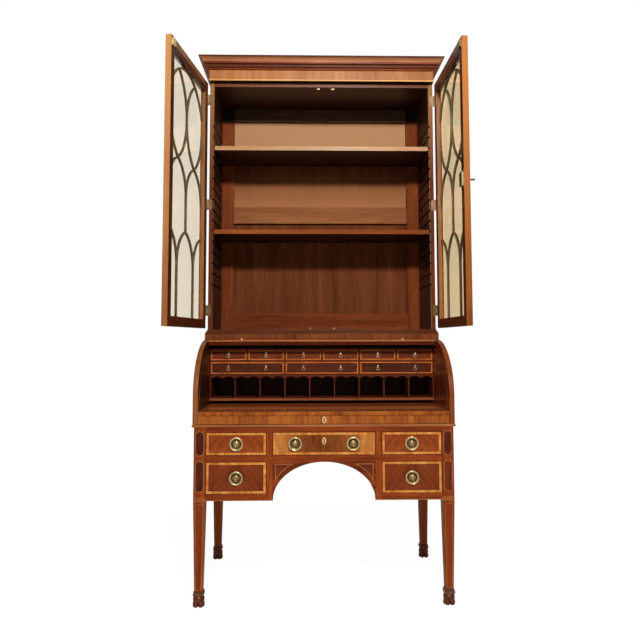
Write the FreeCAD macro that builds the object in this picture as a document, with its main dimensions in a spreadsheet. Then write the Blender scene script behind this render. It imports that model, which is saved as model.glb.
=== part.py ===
import FreeCAD, Part
import math
import os
import re

# Tambour secretary bookcase: a writing table on four tapered legs, a roll-top
# writing compartment between two curved gables, and a glazed bookcase above it.
# X runs to the right, Y to the back and Z up. The origin is on the floor, under
# the middle of the table case.

doc = FreeCAD.newDocument("tambour_secretary_bookcase")
Vector = FreeCAD.Vector
Rotation = FreeCAD.Rotation

SIZES = {
    # Table case
    "case_wide": 1000, "desk_deep": 610, "case_floor": 392,
    "leg_wide": 46, "leg_toe_wide": 32,
    "bottom_rail_high": 25, "lower_drawer_high": 122, "mid_rail_high": 23,
    "upper_drawer_high": 89, "top_rail_high": 18, "rail_deep": 46,
    "centre_drawer_wide": 397, "stile_wide": 22.5,
    "apron_thick": 18, "arch_web": 2, "arch_foot": 2,
    "side_panel_thick": 16, "dust_board_thick": 10, "guide_high": 15,
    "case_back_thick": 10, "case_back_inset": 4, "rear_rail_thick": 12,
    # Paw feet
    "foot_high": 57, "foot_cap_high": 7, "foot_cap_wide": 37, "foot_band_high": 10,
    "foot_band_wide": 41, "paw_wide": 46, "paw_deep": 50, "toe_wide": 19, "toe_high": 21,
    "toe_long": 26, "toe_spread": 9.6, "outer_toe_spread": 14.5, "outer_toe_back": 12,
    "paw_half_share": 0.62, "paw_centre_share": 0.6, "toe_centre_share": 0.25,
    # Table top and its bead
    "table_top_thick": 10, "gable_wide": 1012, "bead_proud": 3,
    # Gables and the tambour's track
    "gable_thick": 20, "gable_shoulder": 108, "gable_centre": 9, "track_head": 10,
    "track_back": 3, "track_rise": 33, "track_rear_gap": 3, "slat_thick": 8,
    "slat_share": 0.05159, "lip_share": 0.091873, "slat_pitch": 3.15, "slat_tongue": 5, "groove_deep": 6,
    "groove_play": 0.8, "canvas_thick": 0.7, "canvas_gap": 0.05, "lip_angle": 82.5,
    "lip_thick": 20, "lip_play": 0.7,
    "knob_spread": 344, "knob_radius": 4.2, "knob_stem_radius": 2, "knob_proud": 9, "knob_lead": 5,
    # Writing slide
    "slide_top": 49.5, "slide_board_thick": 15.5, "slide_play": 0.8, "slide_rest_gap": 0.3,
    "slide_rail_thick": 22, "slide_nose": 3, "slide_back_gap": 23, "slide_side_wide": 20,
    "slide_rail_gap": 1.5,
    # Desk back and top board
    "desk_back_thick": 12, "desk_top_thick": 19,
    # Pigeonhole unit
    "unit_front": 18, "unit_floor": 63, "unit_floor_thick": 10.5, "unit_end_thick": 4,
    "unit_shelf_thick": 4, "unit_rail_high": 8, "unit_top_thick": 7, "unit_back_thick": 5,
    "unit_head_gap": 24, "pigeonhole_high_share": 0.516624, "wide_drawer_high_share": 0.26087,
    "small_drawer_high_share": 0.222506, "pigeonhole_deep_share": 0.742049,
    "wide_drawer_deep_share": 0.55477, "small_drawer_deep_share": 0.240283,
    "divider_thick": 5, "drawer_divider_thick": 8.7,
    "valance_thick": 4, "valance_high": 15, "valance_set_back": 2, "scallop_rise": 8,
    "valance_end_wide": 4,
    # Drawers
    "drawer_front_thick": 20, "drawer_side_thick": 9, "drawer_bottom_thick": 5, "drawer_gap": 0.6,
    "drawer_rest_gap": 0.3, "drawer_back_gap": 46, "drawer_side_drop": 12,
    "small_front_thick": 8, "small_side_thick": 4, "small_bottom_thick": 3,
    "small_side_drop": 5, "small_back_gap": 3,
    # Ring pulls of the table drawers
    "plate_radius": 24, "plate_thick": 2.2, "boss_radius": 11.5, "boss_high": 6,
    "ring_radius": 23.7, "ring_wire": 2.9, "ring_drop": 1, "lug_wide": 6.5, "lug_wall": 1.3,
    "eye_play": 0.12, "ring_clear": 1.2, "pull_inset": 86.5,
    # Drop pulls of the small drawers
    "drop_wire": 1.3, "drop_radius": 6, "drop_post_radius": 2, "drop_ball_radius": 4.5,
    "drop_ball_rise": 6, "drop_out": 7.5, "drop_lug_wide": 2.4, "drop_lug_wall": 1.2,
    "drop_pivot_rise": 1.5,
    # Escutcheons
    "lozenge_wide": 17, "lozenge_high": 30, "lozenge_thick": 1.2, "keyhole_rise": 10,
    # Bookcase case
    "bookcase_set_in": 12.5, "bookcase_front": 12, "bookcase_side_thick": 20,
    "bookcase_floor_thick": 25, "bookcase_clear_high": 1073.5, "bookcase_top_thick": 18,
    "waist_high": 43.5, "waist_flat_high": 23.5, "waist_proud": 10.4, "waist_top_proud": 2,
    "waist_band_thick": 0.4,
    "shelf_thick": 19, "shelf_front": 17, "shelf_back_gap": 2, "shelf_play": 0.5,
    "groove_high": 8, "groove_pitch": 46.7, "groove_first": 195, "shelf_groove_deep": 6,
    "shelf_tongue": 5.5, "shelf_tongue_play": 0.3, "lower_shelf_groove": 5, "upper_shelf_groove": 13,
    "back_frame_thick": 16, "back_panel_thick": 6, "back_stile_wide": 57.5, "back_rail_wide": 80,
    "back_mid_rail": 513, "back_top_rail_wide": 62, "panel_lap": 10,
    # Cornice
    "frieze_front": 39, "bead_high": 7, "bead_out": 2.5, "frieze_high": 41,
    "step_high": 6, "step_out": 7, "ogee_high": 16, "ogee_out": 23, "fillet_out": 25,
    "fillet_high": 8, "cove_high": 17, "cove_out": 43, "cap_high": 4, "cove_share": 0.3,
    # Glazed doors
    "door_thick": 23, "door_high": 1080, "door_lift": 5.5, "door_member_wide": 38,
    "door_top_rail": 48,
    "door_meeting_gap": 0.75, "door_front_gap": 1, "left_door_open": 97.6, "right_door_open": 91,
    "glass_thick": 3, "glass_inset": 15, "glass_play": 0.2,
    "bar_wide": 7, "bar_thick": 4.6, "rib_thick": 3, "crown_spring": 134, "oval_half_high": 176,
    "upper_arch_high": 138, "middle_bar": 139, "lower_arch_high": 141,
    # Door hinges
    "hinge_high": 46, "hinge_wide": 12, "leaf_thick": 2, "leaf_gap": 0.2, "knuckle_radius": 4,
    "knuckle_clear": 0.4, "knuckle_end": 15, "knuckle_play": 0.3, "pin_radius": 1.6,
    "pin_play": 0.05, "pin_out": 7, "hinge_low": 77, "hinge_mid": 540, "hinge_top": 1008,
    # Lock, key and catches
    "lock_rise": 540, "lock_plate_high": 72, "lock_plate_wide": 36, "lock_plate_thick": 1.5,
    "key_inset": 22, "key_shaft_radius": 2, "key_hole_radius": 2.6, "key_out": 6, "key_in": 14,
    "key_hole_spare": 1,
    "key_bow_radius": 8, "key_wire": 1.8, "key_collar_radius": 3.4, "key_collar_long": 3,
    "catch_wide": 27, "catch_high": 27, "catch_proud": 8, "catch_inset": 4, "catch_drop": 12.5,
    "strike_wide": 14, "strike_high": 7, "strike_deep": 9, "strike_set_back": 8.5,
    "left_strike": 15, "right_strike": 50, "peg_radius": 3.5, "peg_high": 8, "peg_spread": 52,
    "peg_set_back": 8,
    # Overrun of the cutters
    "overrun": 5,
}

DERIVED = {
    "case_half": "case_wide / 2",
    "front": "-desk_deep / 2",
    "back": "desk_deep / 2",
    "leg_inner": "case_half - leg_wide",
    "leg_half_across": "case_half - leg_wide / 2",
    "leg_half_along": "desk_deep / 2 - leg_wide / 2",
    "lower_drawer_floor": "case_floor + bottom_rail_high",
    "mid_rail_floor": "lower_drawer_floor + lower_drawer_high",
    "upper_drawer_floor": "mid_rail_floor + mid_rail_high",
    "top_rail_floor": "upper_drawer_floor + upper_drawer_high",
    "table_top_floor": "top_rail_floor + top_rail_high",
    "slide_floor": "table_top_floor + table_top_thick",
    "centre_half": "centre_drawer_wide / 2",
    "side_drawer_inner": "centre_half + stile_wide",
    "wall_thick": "side_panel_thick",
    "pull_spread": "centre_half - pull_inset",
    "gable_half": "gable_wide / 2",
    "gable_inner": "gable_half - gable_thick",
    "track_radius": "back - desk_back_thick - track_rear_gap - track_back - slat_thick / 2",
    "gable_high": "track_rise + track_radius + track_head",
    "gable_top": "slide_floor + gable_high",
    "shoulder": "slide_floor + gable_shoulder",
    "gable_curve_deep": "desk_deep / 2 + gable_centre",
    "track_height": "slide_floor + track_rise",
    "slat_wide": "track_radius * slat_share",
    "lip_wide": "track_radius * lip_share",
    "slat_inner": "track_radius - slat_thick / 2",
    "slat_outer": "track_radius + slat_thick / 2",
    "slide_surface": "slide_floor + slide_top",
    "slide_back": "back - desk_back_thick - slide_back_gap",
    "unit_base": "slide_floor + unit_floor",
    "unit_boards": "unit_floor_thick + unit_shelf_thick + unit_rail_high + unit_top_thick",
    "unit_clear_high": "slat_inner + track_rise - unit_head_gap - unit_floor - unit_boards",
    "pigeonhole_high": "unit_clear_high * pigeonhole_high_share",
    "wide_drawer_high": "unit_clear_high * wide_drawer_high_share",
    "small_drawer_high": "unit_clear_high * small_drawer_high_share",
    "pigeonhole_deep": "track_radius * pigeonhole_deep_share",
    "wide_drawer_deep": "track_radius * wide_drawer_deep_share",
    "small_drawer_deep": "track_radius * small_drawer_deep_share",
    "pigeonhole_floor": "unit_base + unit_floor_thick",
    "pigeonhole_top": "pigeonhole_floor + pigeonhole_high",
    "wide_drawer_floor": "pigeonhole_top + unit_shelf_thick",
    "wide_drawer_top": "wide_drawer_floor + wide_drawer_high",
    "small_drawer_floor": "wide_drawer_top + unit_rail_high",
    "small_drawer_top": "small_drawer_floor + small_drawer_high",
    "unit_half": "gable_inner - unit_end_thick",
    "bookcase_half": "gable_half - bookcase_set_in",
    "bookcase_inner": "bookcase_half - bookcase_side_thick",
    "bookcase_face": "-bookcase_front",
    "bookcase_base": "gable_top + desk_top_thick",
    "bookcase_floor": "bookcase_base + bookcase_floor_thick",
    "bookcase_ceiling": "bookcase_floor + bookcase_clear_high",
    "bookcase_top": "bookcase_ceiling + bookcase_top_thick",
    "waist_top": "gable_top + waist_high",
    "back_face": "back - back_panel_thick - back_frame_thick",
    "door_base": "waist_top + door_lift",
    "door_wide": "bookcase_half - door_meeting_gap",
    "hinge_line": "bookcase_half + pin_out",
    "hinge_depth": "bookcase_face - door_front_gap",
    "door_free": "hinge_line - door_meeting_gap",
    "glass_half": "door_wide / 2 - door_member_wide",
    "glass_high": "door_high - door_member_wide - door_top_rail",
    "quarter": "glass_half / 2",
}

sheet = doc.addObject("Spreadsheet::Sheet", "dims")
for row, (alias, size) in enumerate(SIZES.items(), 1):
    sheet.set(f"A{row}", alias)
    sheet.set(f"B{row}", str(size))
    sheet.setAlias(f"B{row}", alias)
for row, (alias, formula) in enumerate(DERIVED.items(), len(SIZES) + 1):
    sheet.set(f"A{row}", alias)
    sheet.set(f"B{row}", "=" + formula)
    sheet.setAlias(f"B{row}", alias)
doc.recompute()

NAMES = set(SIZES) | set(DERIVED)
NODES = []


def bound(formula):
    """The formula with every named size read from the sheet."""
    return re.sub(r"[a-z_]+", lambda word: "dims." + word[0] if word[0] in NAMES else word[0], formula)


def size_of(name):
    return float(sheet.get(name))


def bind(item, prop, formula):
    item.setExpression(prop, bound(formula))


def place(item, x="0", y="0", z="0"):
    for side, formula in zip("xyz", (x, y, z)):
        bind(item, f"Placement.Base.{side}", formula)


def turn(item, axis, angle):
    """Turns an item about an axis by an angle in degrees, given as a formula."""
    item.Placement.Rotation = Rotation(axis, 1)
    bind(item, "Placement.Rotation.Angle", angle)


def mirrored(side, low, high):
    """A stretch of X on the right (side 1) or its mirror image on the left (side -1)."""
    return (low, high) if side > 0 else (f"-({high})", f"-({low})")


def board(x, y, z):
    """A rectangular piece between three pairs of planes."""
    item = doc.addObject("Part::Box", "board")
    for prop, (low, high) in zip(("Length", "Width", "Height"), (x, y, z)):
        bind(item, prop, f"({high}) - ({low})")
    place(item, x[0], y[0], z[0])
    return item


AXES = {"x": (Vector(0, 1, 0), 90), "y": (Vector(1, 0, 0), -90), "z": (Vector(0, 0, 1), 0)}


def rod(radius, length, start, along="z"):
    """A cylinder from its start point towards +X, +Y or +Z."""
    item = doc.addObject("Part::Cylinder", "rod")
    bind(item, "Radius", radius)
    bind(item, "Height", length)
    item.Placement.Rotation = Rotation(*AXES[along])
    place(item, *start)
    return item


def ball(radius, centre):
    item = doc.addObject("Part::Sphere", "ball")
    bind(item, "Radius", radius)
    place(item, *centre)
    return item


def lump(half_x, half_y, half_z, centre):
    """An ellipsoid with its half sizes along X, Y and Z."""
    item = doc.addObject("Part::Ellipsoid", "lump")
    bind(item, "Radius1", half_z)
    bind(item, "Radius2", half_x)
    bind(item, "Radius3", half_y)
    place(item, *centre)
    return item


def ring(radius, wire, centre):
    """A round ring in an upright plane across the front."""
    item = doc.addObject("Part::Torus", "ring")
    bind(item, "Radius1", radius)
    bind(item, "Radius2", wire)
    item.Placement.Rotation = Rotation(*AXES["y"])
    place(item, *centre)
    return item


def fused(*items):
    item = doc.addObject("Part::MultiFuse", "fused")
    item.Shapes = list(items)
    return item


def shared(first, second):
    item = doc.addObject("Part::Common", "shared")
    item.Base, item.Tool = first, second
    return item


def cut(base, *tools):
    item = doc.addObject("Part::Cut", "cut")
    item.Base = base
    item.Tool = tools[0] if len(tools) == 1 else group(tools)
    return item


def group(items):
    item = doc.addObject("Part::Compound", "group")
    item.Links = list(items)
    return item


def ellipse_rod(half_y, half_z, centre, length):
    """An elliptical cylinder towards +X."""
    edge = doc.addObject("Part::Ellipse", "ellipse")
    bind(edge, "MajorRadius", half_y)
    bind(edge, "MinorRadius", half_z)
    edge.Placement.Rotation = Rotation(Vector(1, 1, 1), 120)
    place(edge, *centre)
    item = doc.addObject("Part::Extrusion", "ellipse_rod")
    item.Base = edge
    item.DirMode = "Custom"
    item.Dir = Vector(1, 0, 0)
    item.Solid = True
    bind(item, "LengthFwd", length)
    return item


def made(shape):
    """A piece whose shape is worked out from the sheet's values."""
    item = doc.addObject("Part::Feature", "made")
    item.Shape = shape
    return item


def node(label, *pieces):
    """A named sub-part of one or more separate solids."""
    whole = doc.addObject("Part::Compound", label)
    whole.Label = label
    whole.Links = list(pieces)
    NODES.append(whole)
    return whole


# Legs: square corner posts that taper below the case
def leg(side, end):
    x, y = f"{side} * leg_half_across", f"{end} * leg_half_along"
    post = board((f"{x} - leg_wide / 2", f"{x} + leg_wide / 2"),
                 (f"{y} - leg_wide / 2", f"{y} + leg_wide / 2"), ("case_floor", "table_top_floor"))
    taper = doc.addObject("Part::Wedge", "taper")
    for prop, formula in (("Xmin", "-leg_toe_wide / 2"), ("Xmax", "leg_toe_wide / 2"),
                          ("Zmin", "-leg_toe_wide / 2"), ("Zmax", "leg_toe_wide / 2"),
                          ("X2min", "-leg_wide / 2"), ("X2max", "leg_wide / 2"),
                          ("Z2min", "-leg_wide / 2"), ("Z2max", "leg_wide / 2"),
                          ("Ymin", "foot_high"), ("Ymax", "case_floor")):
        bind(taper, prop, formula)
    taper.Placement.Rotation = Rotation(Vector(1, 0, 0), 90)
    place(taper, x, y)
    return fused(post, taper)


CORNERS = [(side, end) for end in (-1, 1) for side in (-1, 1)]
node("legs", *[leg(side, end) for side, end in CORNERS])


# Paw feet: cast brass, a cap and a band over a paw with four toes
def paw_foot(side, end):
    x, y = f"{side} * leg_half_across", f"{end} * leg_half_along"

    def slab(wide, low, high):
        return board((f"{x} - {wide} / 2", f"{x} + {wide} / 2"),
                     (f"{y} - {wide} / 2", f"{y} + {wide} / 2"), (low, high))

    cap_floor = "foot_high - foot_cap_high"
    band_floor = f"{cap_floor} - foot_band_high"
    pieces = [slab("foot_cap_wide", cap_floor, "foot_high"),
              slab("foot_band_wide", band_floor, cap_floor),
              lump("paw_wide / 2", "paw_deep / 2", f"({band_floor}) * paw_half_share",
                   (x, y, f"({band_floor}) * paw_centre_share"))]
    toe_front = f"{y} - paw_deep / 2 + toe_long / 2"
    for across, set_back in (("toe_spread", "0"), ("outer_toe_spread", "outer_toe_back")):
        for way in (-1, 1):
            pieces.append(lump("toe_wide / 2", "toe_long / 2", "toe_high",
                               (f"{x} + {way} * {across}", f"{toe_front} + {set_back}",
                                "toe_wide * toe_centre_share")))
    room = board((f"{x} - paw_wide", f"{x} + paw_wide"), (f"{y} - paw_deep", f"{y} + paw_deep"),
                 ("0", "foot_high"))
    return shared(fused(*pieces), room)


node("paw_feet", *[paw_foot(side, end) for side, end in CORNERS])

# Front frame of the table case: rails and stiles round the drawers
RAIL_Y = ("front", "front + rail_deep")
frame_pieces = [
    board(("-leg_inner", "leg_inner"), RAIL_Y, ("top_rail_floor", "table_top_floor")),
    board(("-leg_inner", "leg_inner"), RAIL_Y, ("mid_rail_floor", "upper_drawer_floor")),
]
for side in (-1, 1):
    stile = mirrored(side, "centre_half", "side_drawer_inner")
    frame_pieces.append(board(stile, RAIL_Y, ("upper_drawer_floor", "top_rail_floor")))
    frame_pieces.append(board(stile, RAIL_Y, ("case_floor", "mid_rail_floor")))
    frame_pieces.append(board(mirrored(side, "side_drawer_inner", "leg_inner"), RAIL_Y,
                              ("case_floor", "lower_drawer_floor")))
node("case_front_frame", *frame_pieces)

# Arched apron over the kneehole
apron = board(("-centre_half", "centre_half"), ("front", "front + apron_thick"),
              ("case_floor", "mid_rail_floor"))
arch_edge = doc.addObject("Part::Ellipse", "arch_edge")
bind(arch_edge, "MajorRadius", "centre_half - arch_foot")
bind(arch_edge, "MinorRadius", "mid_rail_floor - arch_web - case_floor")
arch_edge.Placement.Rotation = Rotation(Vector(1, 0, 0), 90)
place(arch_edge, "0", "front + apron_thick + overrun", "case_floor")
arch_cut = doc.addObject("Part::Extrusion", "arch_cut")
arch_cut.Base = arch_edge
arch_cut.DirMode = "Custom"
arch_cut.Dir = Vector(0, -1, 0)
arch_cut.Solid = True
bind(arch_cut, "LengthFwd", "apron_thick + 2 * overrun")
node("kneehole_apron", cut(apron, arch_cut))

# Carcass boards of the table case: side panels, kneehole walls, dust boards, guides and back
FRAME_BACK = "front + rail_deep"
INNER_END = "back - leg_wide"
BACK_Y = ("back - case_back_inset - case_back_thick", "back - case_back_inset")
boards = []
for side in (-1, 1):
    boards.append(board(mirrored(side, "case_half - side_panel_thick", "case_half"),
                        (FRAME_BACK, INNER_END), ("case_floor", "table_top_floor")))
    boards.append(board(mirrored(side, "side_drawer_inner - wall_thick", "side_drawer_inner"),
                        (FRAME_BACK, BACK_Y[0]), ("case_floor", "table_top_floor")))
    for floor in ("lower_drawer_floor", "upper_drawer_floor"):
        boards.append(board(mirrored(side, "side_drawer_inner", "leg_inner"),
                            (FRAME_BACK, BACK_Y[0]), (f"{floor} - dust_board_thick", floor)))
        guide_z = (f"{floor} - dust_board_thick", f"{floor} + guide_high")
        boards.append(board(mirrored(side, "leg_inner", "case_half - side_panel_thick"),
                            (FRAME_BACK, INNER_END), guide_z))
    boards.append(board(mirrored(side, "side_drawer_inner - wall_thick", "leg_inner"), BACK_Y,
                        ("case_floor", "table_top_floor")))
WALL_INNER = "side_drawer_inner - wall_thick"
boards.append(board((f"-({WALL_INNER})", WALL_INNER), (FRAME_BACK, BACK_Y[0]),
                    ("upper_drawer_floor - dust_board_thick", "upper_drawer_floor")))
boards.append(board((f"-({WALL_INNER})", WALL_INNER), BACK_Y,
                    ("upper_drawer_floor - dust_board_thick", "table_top_floor")))
node("case_carcass", *boards)


# Directions of a profile's own X, Y and Z, for a piece that runs across the front
# or down either side of the case.
LYING = {"front": ((0, -1, 0), (0, 0, 1), (-1, 0, 0)), "right": ((1, 0, 0), (0, 0, 1), (0, -1, 0)),
         "left": ((-1, 0, 0), (0, 0, 1), (0, 1, 0))}


def laid(profile, length, way, start):
    """A flat profile drawn out to a length and laid one of the ways above."""
    run = profile.extrude(Vector(0, 0, length))
    turned = Rotation(*[Vector(*axis) for axis in LYING[way]], "XYZ")
    run.Placement = FreeCAD.Placement(Vector(*start), turned)
    return run


def face_of(edges):
    return Part.Face(Part.Wire(Part.__sortEdges__(edges)))


def mitred_runs(outline, half_wide, face, rear):
    """The front run and the two returns of a moulding round three sides of a case.

    The outline is a list of edges in the plane of projection (x) and height (y).
    """
    profile = face_of(outline)
    box = profile.BoundBox
    spare = 2 * max(box.XMax, -box.XMin) + size_of("overrun")

    def prism(side, third_x, third_y):
        """What lies to one side of a corner's mitre plane."""
        points = [Vector(side * (half_wide - spare), face + spare, box.YMin - spare),
                  Vector(side * (half_wide + 2 * spare), face - 2 * spare, box.YMin - spare),
                  Vector(side * (half_wide + third_x), face + third_y, box.YMin - spare)]
        figure = Part.Face(Part.makePolygon(points + points[:1]))
        return figure.extrude(Vector(0, 0, box.YLength + 2 * spare))

    front_run = laid(profile, 2 * (half_wide + spare), "front", (half_wide + spare, face, 0))
    right_run = laid(profile, rear - face + spare, "right", (half_wide, rear, 0))
    left_run = laid(profile, rear - face + spare, "left", (-half_wide, face - spare, 0))
    runs = [front_run.cut(prism(-1, 2 * spare, spare)).cut(prism(1, 2 * spare, spare)),
            left_run.cut(prism(-1, -spare, -2 * spare)), right_run.cut(prism(1, -spare, -2 * spare))]
    return [made(run.Solids[0]) for run in runs]


def line(x_from, y_from, x_to, y_to):
    return Part.LineSegment(Vector(x_from, y_from, 0), Vector(x_to, y_to, 0)).toShape()


def arc(x_from, y_from, x_mid, y_mid, x_to, y_to):
    return Part.Arc(Vector(x_from, y_from, 0), Vector(x_mid, y_mid, 0), Vector(x_to, y_to, 0)).toShape()


def sector(x, y, radius, wide, start, end):
    """A curved band of a given width about a centre, between two angles in degrees."""
    def at(reach, angle):
        return x + reach * math.cos(math.radians(angle)), y + reach * math.sin(math.radians(angle))

    inner, outer, middle = radius - wide / 2, radius + wide / 2, (start + end) / 2
    return face_of([arc(*at(outer, start), *at(outer, middle), *at(outer, end)),
                    arc(*at(inner, start), *at(inner, middle), *at(inner, end)),
                    line(*at(inner, start), *at(outer, start)), line(*at(inner, end), *at(outer, end))])


# Table top with a half-round bead on its front and side edges
def bead_outline():
    low, high, out = size_of("table_top_floor"), size_of("slide_floor"), size_of("bead_proud")
    return [arc(0, low, out, (low + high) / 2, 0, high), line(0, high, 0, low)]


node("table_top",
     board(("-gable_half", "gable_half"), ("front", "back"), ("table_top_floor", "slide_floor")),
     *mitred_runs(bead_outline(), size_of("gable_half"), size_of("front"), size_of("back")))


# Gables: curved ends of the writing compartment, grooved inside for the tambour
def gable(side):
    across = mirrored(side, "gable_inner", "gable_half")
    curve = ellipse_rod("gable_curve_deep", "gable_top - shoulder",
                        (across[0], "gable_centre", "shoulder"), "gable_thick")
    lower = board(across, ("front", "back"), ("slide_floor", "shoulder"))
    rear = board(across, ("gable_centre", "back"), ("slide_floor", "gable_top"))
    room = board(across, ("front", "back"), ("slide_floor", "gable_top"))
    blank = shared(fused(curve, lower, rear), room)
    groove_x = mirrored(side, "gable_inner - overrun", "gable_inner + groove_deep")
    centre = (groove_x[0], "track_back", "track_height")
    long = f"({groove_x[1]}) - ({groove_x[0]})"
    outer = rod("slat_outer + groove_play", long, centre, "x")
    inner = rod("slat_inner - groove_play", long, centre, "x")
    above = board(groove_x, ("front - overrun", "back + overrun"),
                  ("track_height", "gable_top + overrun"))
    return cut(blank, cut(shared(outer, above), inner))


node("gables", gable(-1), gable(1))

# Back board and top board of the writing compartment
node("desk_shell",
     board(("-gable_inner", "gable_inner"), ("back - desk_back_thick", "back"),
           ("slide_floor", "gable_top")),
     board(("-bookcase_half", "bookcase_half"), ("bookcase_face", "back"),
           ("gable_top", "bookcase_base")))


# Tambour: slats glued on canvas, running in the gables' grooves
def on_track(item, inner_radius, wide, angle, half_long):
    """Lays a box on the track: its depth along the radius, its height along the run."""
    turn(item, Vector(1, 0, 0), f"180 - ({angle})")
    place(item, f"-({half_long})",
          f"track_back - ({inner_radius}) * cos({angle}) + ({wide}) / 2 * sin({angle})",
          f"track_height + ({inner_radius}) * sin({angle}) + ({wide}) / 2 * cos({angle})")


SLATS = 26
DEGREES = 180 / math.pi
LIP_EDGE = (f"(lip_angle + {DEGREES} * (lip_wide / 2 + canvas_gap)"
            " / (slat_inner - canvas_thick - canvas_gap))")
slats = []
for number in range(SLATS):
    slat = doc.addObject("Part::Box", "slat")
    bind(slat, "Length", "2 * (gable_inner + slat_tongue)")
    bind(slat, "Width", "slat_thick")
    bind(slat, "Height", "slat_wide")
    on_track(slat, "slat_inner", "slat_wide", f"{LIP_EDGE} + ({number} + 1 / 2) * slat_pitch",
             "gable_inner + slat_tongue")
    slats.append(slat)


def canvas(number):
    """The stretch of cloth under one slat, bent round the track."""
    thick, half_long = size_of("canvas_thick"), size_of("gable_inner") - size_of("groove_deep")
    pitch, under = size_of("slat_pitch"), size_of("slat_inner") - size_of("canvas_gap")
    reach = size_of("lip_wide") / 2 + size_of("canvas_gap")
    first = size_of("lip_angle") + DEGREES * reach / (under - thick) + number * pitch
    band = sector(0, 0, under - thick / 2, thick, first, first + pitch)
    middle = (half_long, size_of("track_back"), size_of("track_height"))
    return made(laid(band, 2 * half_long, "front", middle))


node("tambour_slats", *slats, *[canvas(number) for number in range(SLATS)])

lip = doc.addObject("Part::Box", "lip")
bind(lip, "Length", "2 * (gable_inner - lip_play)")
bind(lip, "Width", "lip_thick")
bind(lip, "Height", "lip_wide")
on_track(lip, "track_radius - lip_thick / 2", "lip_wide", "lip_angle", "gable_inner - lip_play")


def lip_knob(side):
    """A small turned knob on the lip's outer face, near its leading edge."""
    outer = "track_radius + lip_thick / 2"
    x = f"{side} * knob_spread"
    y = f"track_back - ({outer}) * cos(lip_angle) - knob_lead * sin(lip_angle)"
    z = f"track_height + ({outer}) * sin(lip_angle) - knob_lead * cos(lip_angle)"
    stem = doc.addObject("Part::Cylinder", "stem")
    bind(stem, "Radius", "knob_stem_radius")
    bind(stem, "Height", "knob_proud - knob_radius")
    turn(stem, Vector(1, 0, 0), "90 - lip_angle")
    place(stem, x, y, z)
    reach = "(knob_proud - knob_radius)"
    head = ball("knob_radius", (x, f"{y} - {reach} * cos(lip_angle)", f"{z} + {reach} * sin(lip_angle)"))
    return fused(stem, head)


node("tambour_lip", lip, lip_knob(-1), lip_knob(1))


def lozenge(height, face):
    """A lozenge escutcheon on a face, its middle at the given height."""
    half_wide, half_high = size_of("lozenge_wide") / 2, size_of("lozenge_high") / 2
    corners = [Vector(0, face, height - half_high), Vector(half_wide, face, height),
               Vector(0, face, height + half_high), Vector(-half_wide, face, height)]
    plate = Part.Face(Part.makePolygon(corners + corners[:1]))
    return made(plate.extrude(Vector(0, -size_of("lozenge_thick"), 0)))


# Writing slide: a board with a nosed edge on a front rail and two side rails
SLIDE_HALF = "(gable_inner - slide_play)"
RAIL_TOP = "slide_surface - slide_board_thick"
slide_pieces = [
    board((f"-{SLIDE_HALF}", SLIDE_HALF), ("front - slide_nose", "slide_back"), (RAIL_TOP, "slide_surface")),
    board((f"-{SLIDE_HALF}", SLIDE_HALF), ("front", "front + slide_rail_thick"),
          ("slide_floor + slide_rail_gap", RAIL_TOP)),
]
for side in (-1, 1):
    slide_pieces.append(board(mirrored(side, f"{SLIDE_HALF} - slide_side_wide", SLIDE_HALF),
                              ("front + slide_rail_thick", "slide_back"),
                              ("slide_floor + slide_rest_gap", RAIL_TOP)))
slide_middle = (size_of("slide_floor") + size_of("slide_rail_gap") + size_of("slide_surface")
                - size_of("slide_board_thick")) / 2
slide_pieces.append(lozenge(slide_middle, size_of("front")))
node("writing_slide", *slide_pieces)

# Pigeonhole unit: boards, dividers and scalloped valances
UNIT_Y = {"pigeonhole": "unit_front + pigeonhole_deep", "wide_drawer": "unit_front + wide_drawer_deep",
          "small_drawer": "unit_front + small_drawer_deep"}
unit = [
    board(("-gable_inner", "gable_inner"), ("unit_front", UNIT_Y["pigeonhole"]),
          ("unit_base", "pigeonhole_floor")),
    board(("-gable_inner", "gable_inner"), ("unit_front", UNIT_Y["pigeonhole"]),
          ("pigeonhole_top", "wide_drawer_floor")),
    board(("-gable_inner", "gable_inner"), ("unit_front", UNIT_Y["wide_drawer"]),
          ("wide_drawer_top", "small_drawer_floor")),
    board(("-gable_inner", "gable_inner"), ("unit_front", UNIT_Y["small_drawer"]),
          ("small_drawer_top", "small_drawer_top + unit_top_thick")),
]
TIERS = {"pigeonhole": ("pigeonhole_floor", "pigeonhole_top", 9, "divider_thick"),
         "wide_drawer": ("wide_drawer_floor", "wide_drawer_top", 3, "drawer_divider_thick"),
         "small_drawer": ("small_drawer_floor", "small_drawer_top", 6, "drawer_divider_thick")}


def bay(tier, number):
    """The clear stretch of X of one bay in a tier, counted from the left."""
    bays, divider = TIERS[tier][2:]
    pitch = f"(2 * unit_half + {divider}) / {bays}"
    low = f"(-unit_half + {number} * {pitch})"
    return low, f"({low} + {pitch} - {divider})"


for tier, (low, high, bays, divider) in TIERS.items():
    deep = UNIT_Y[tier]
    unit.append(board(("-unit_half", "unit_half"), (f"{deep} - unit_back_thick", deep), (low, high)))
    for side in (-1, 1):
        unit.append(board(mirrored(side, "unit_half", "gable_inner"), ("unit_front", deep), (low, high)))
    for number in range(1, bays):
        left, right = bay(tier, number - 1)[1], bay(tier, number)[0]
        unit.append(board((left, right), ("unit_front", f"{deep} - unit_back_thick"), (low, high)))


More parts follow.
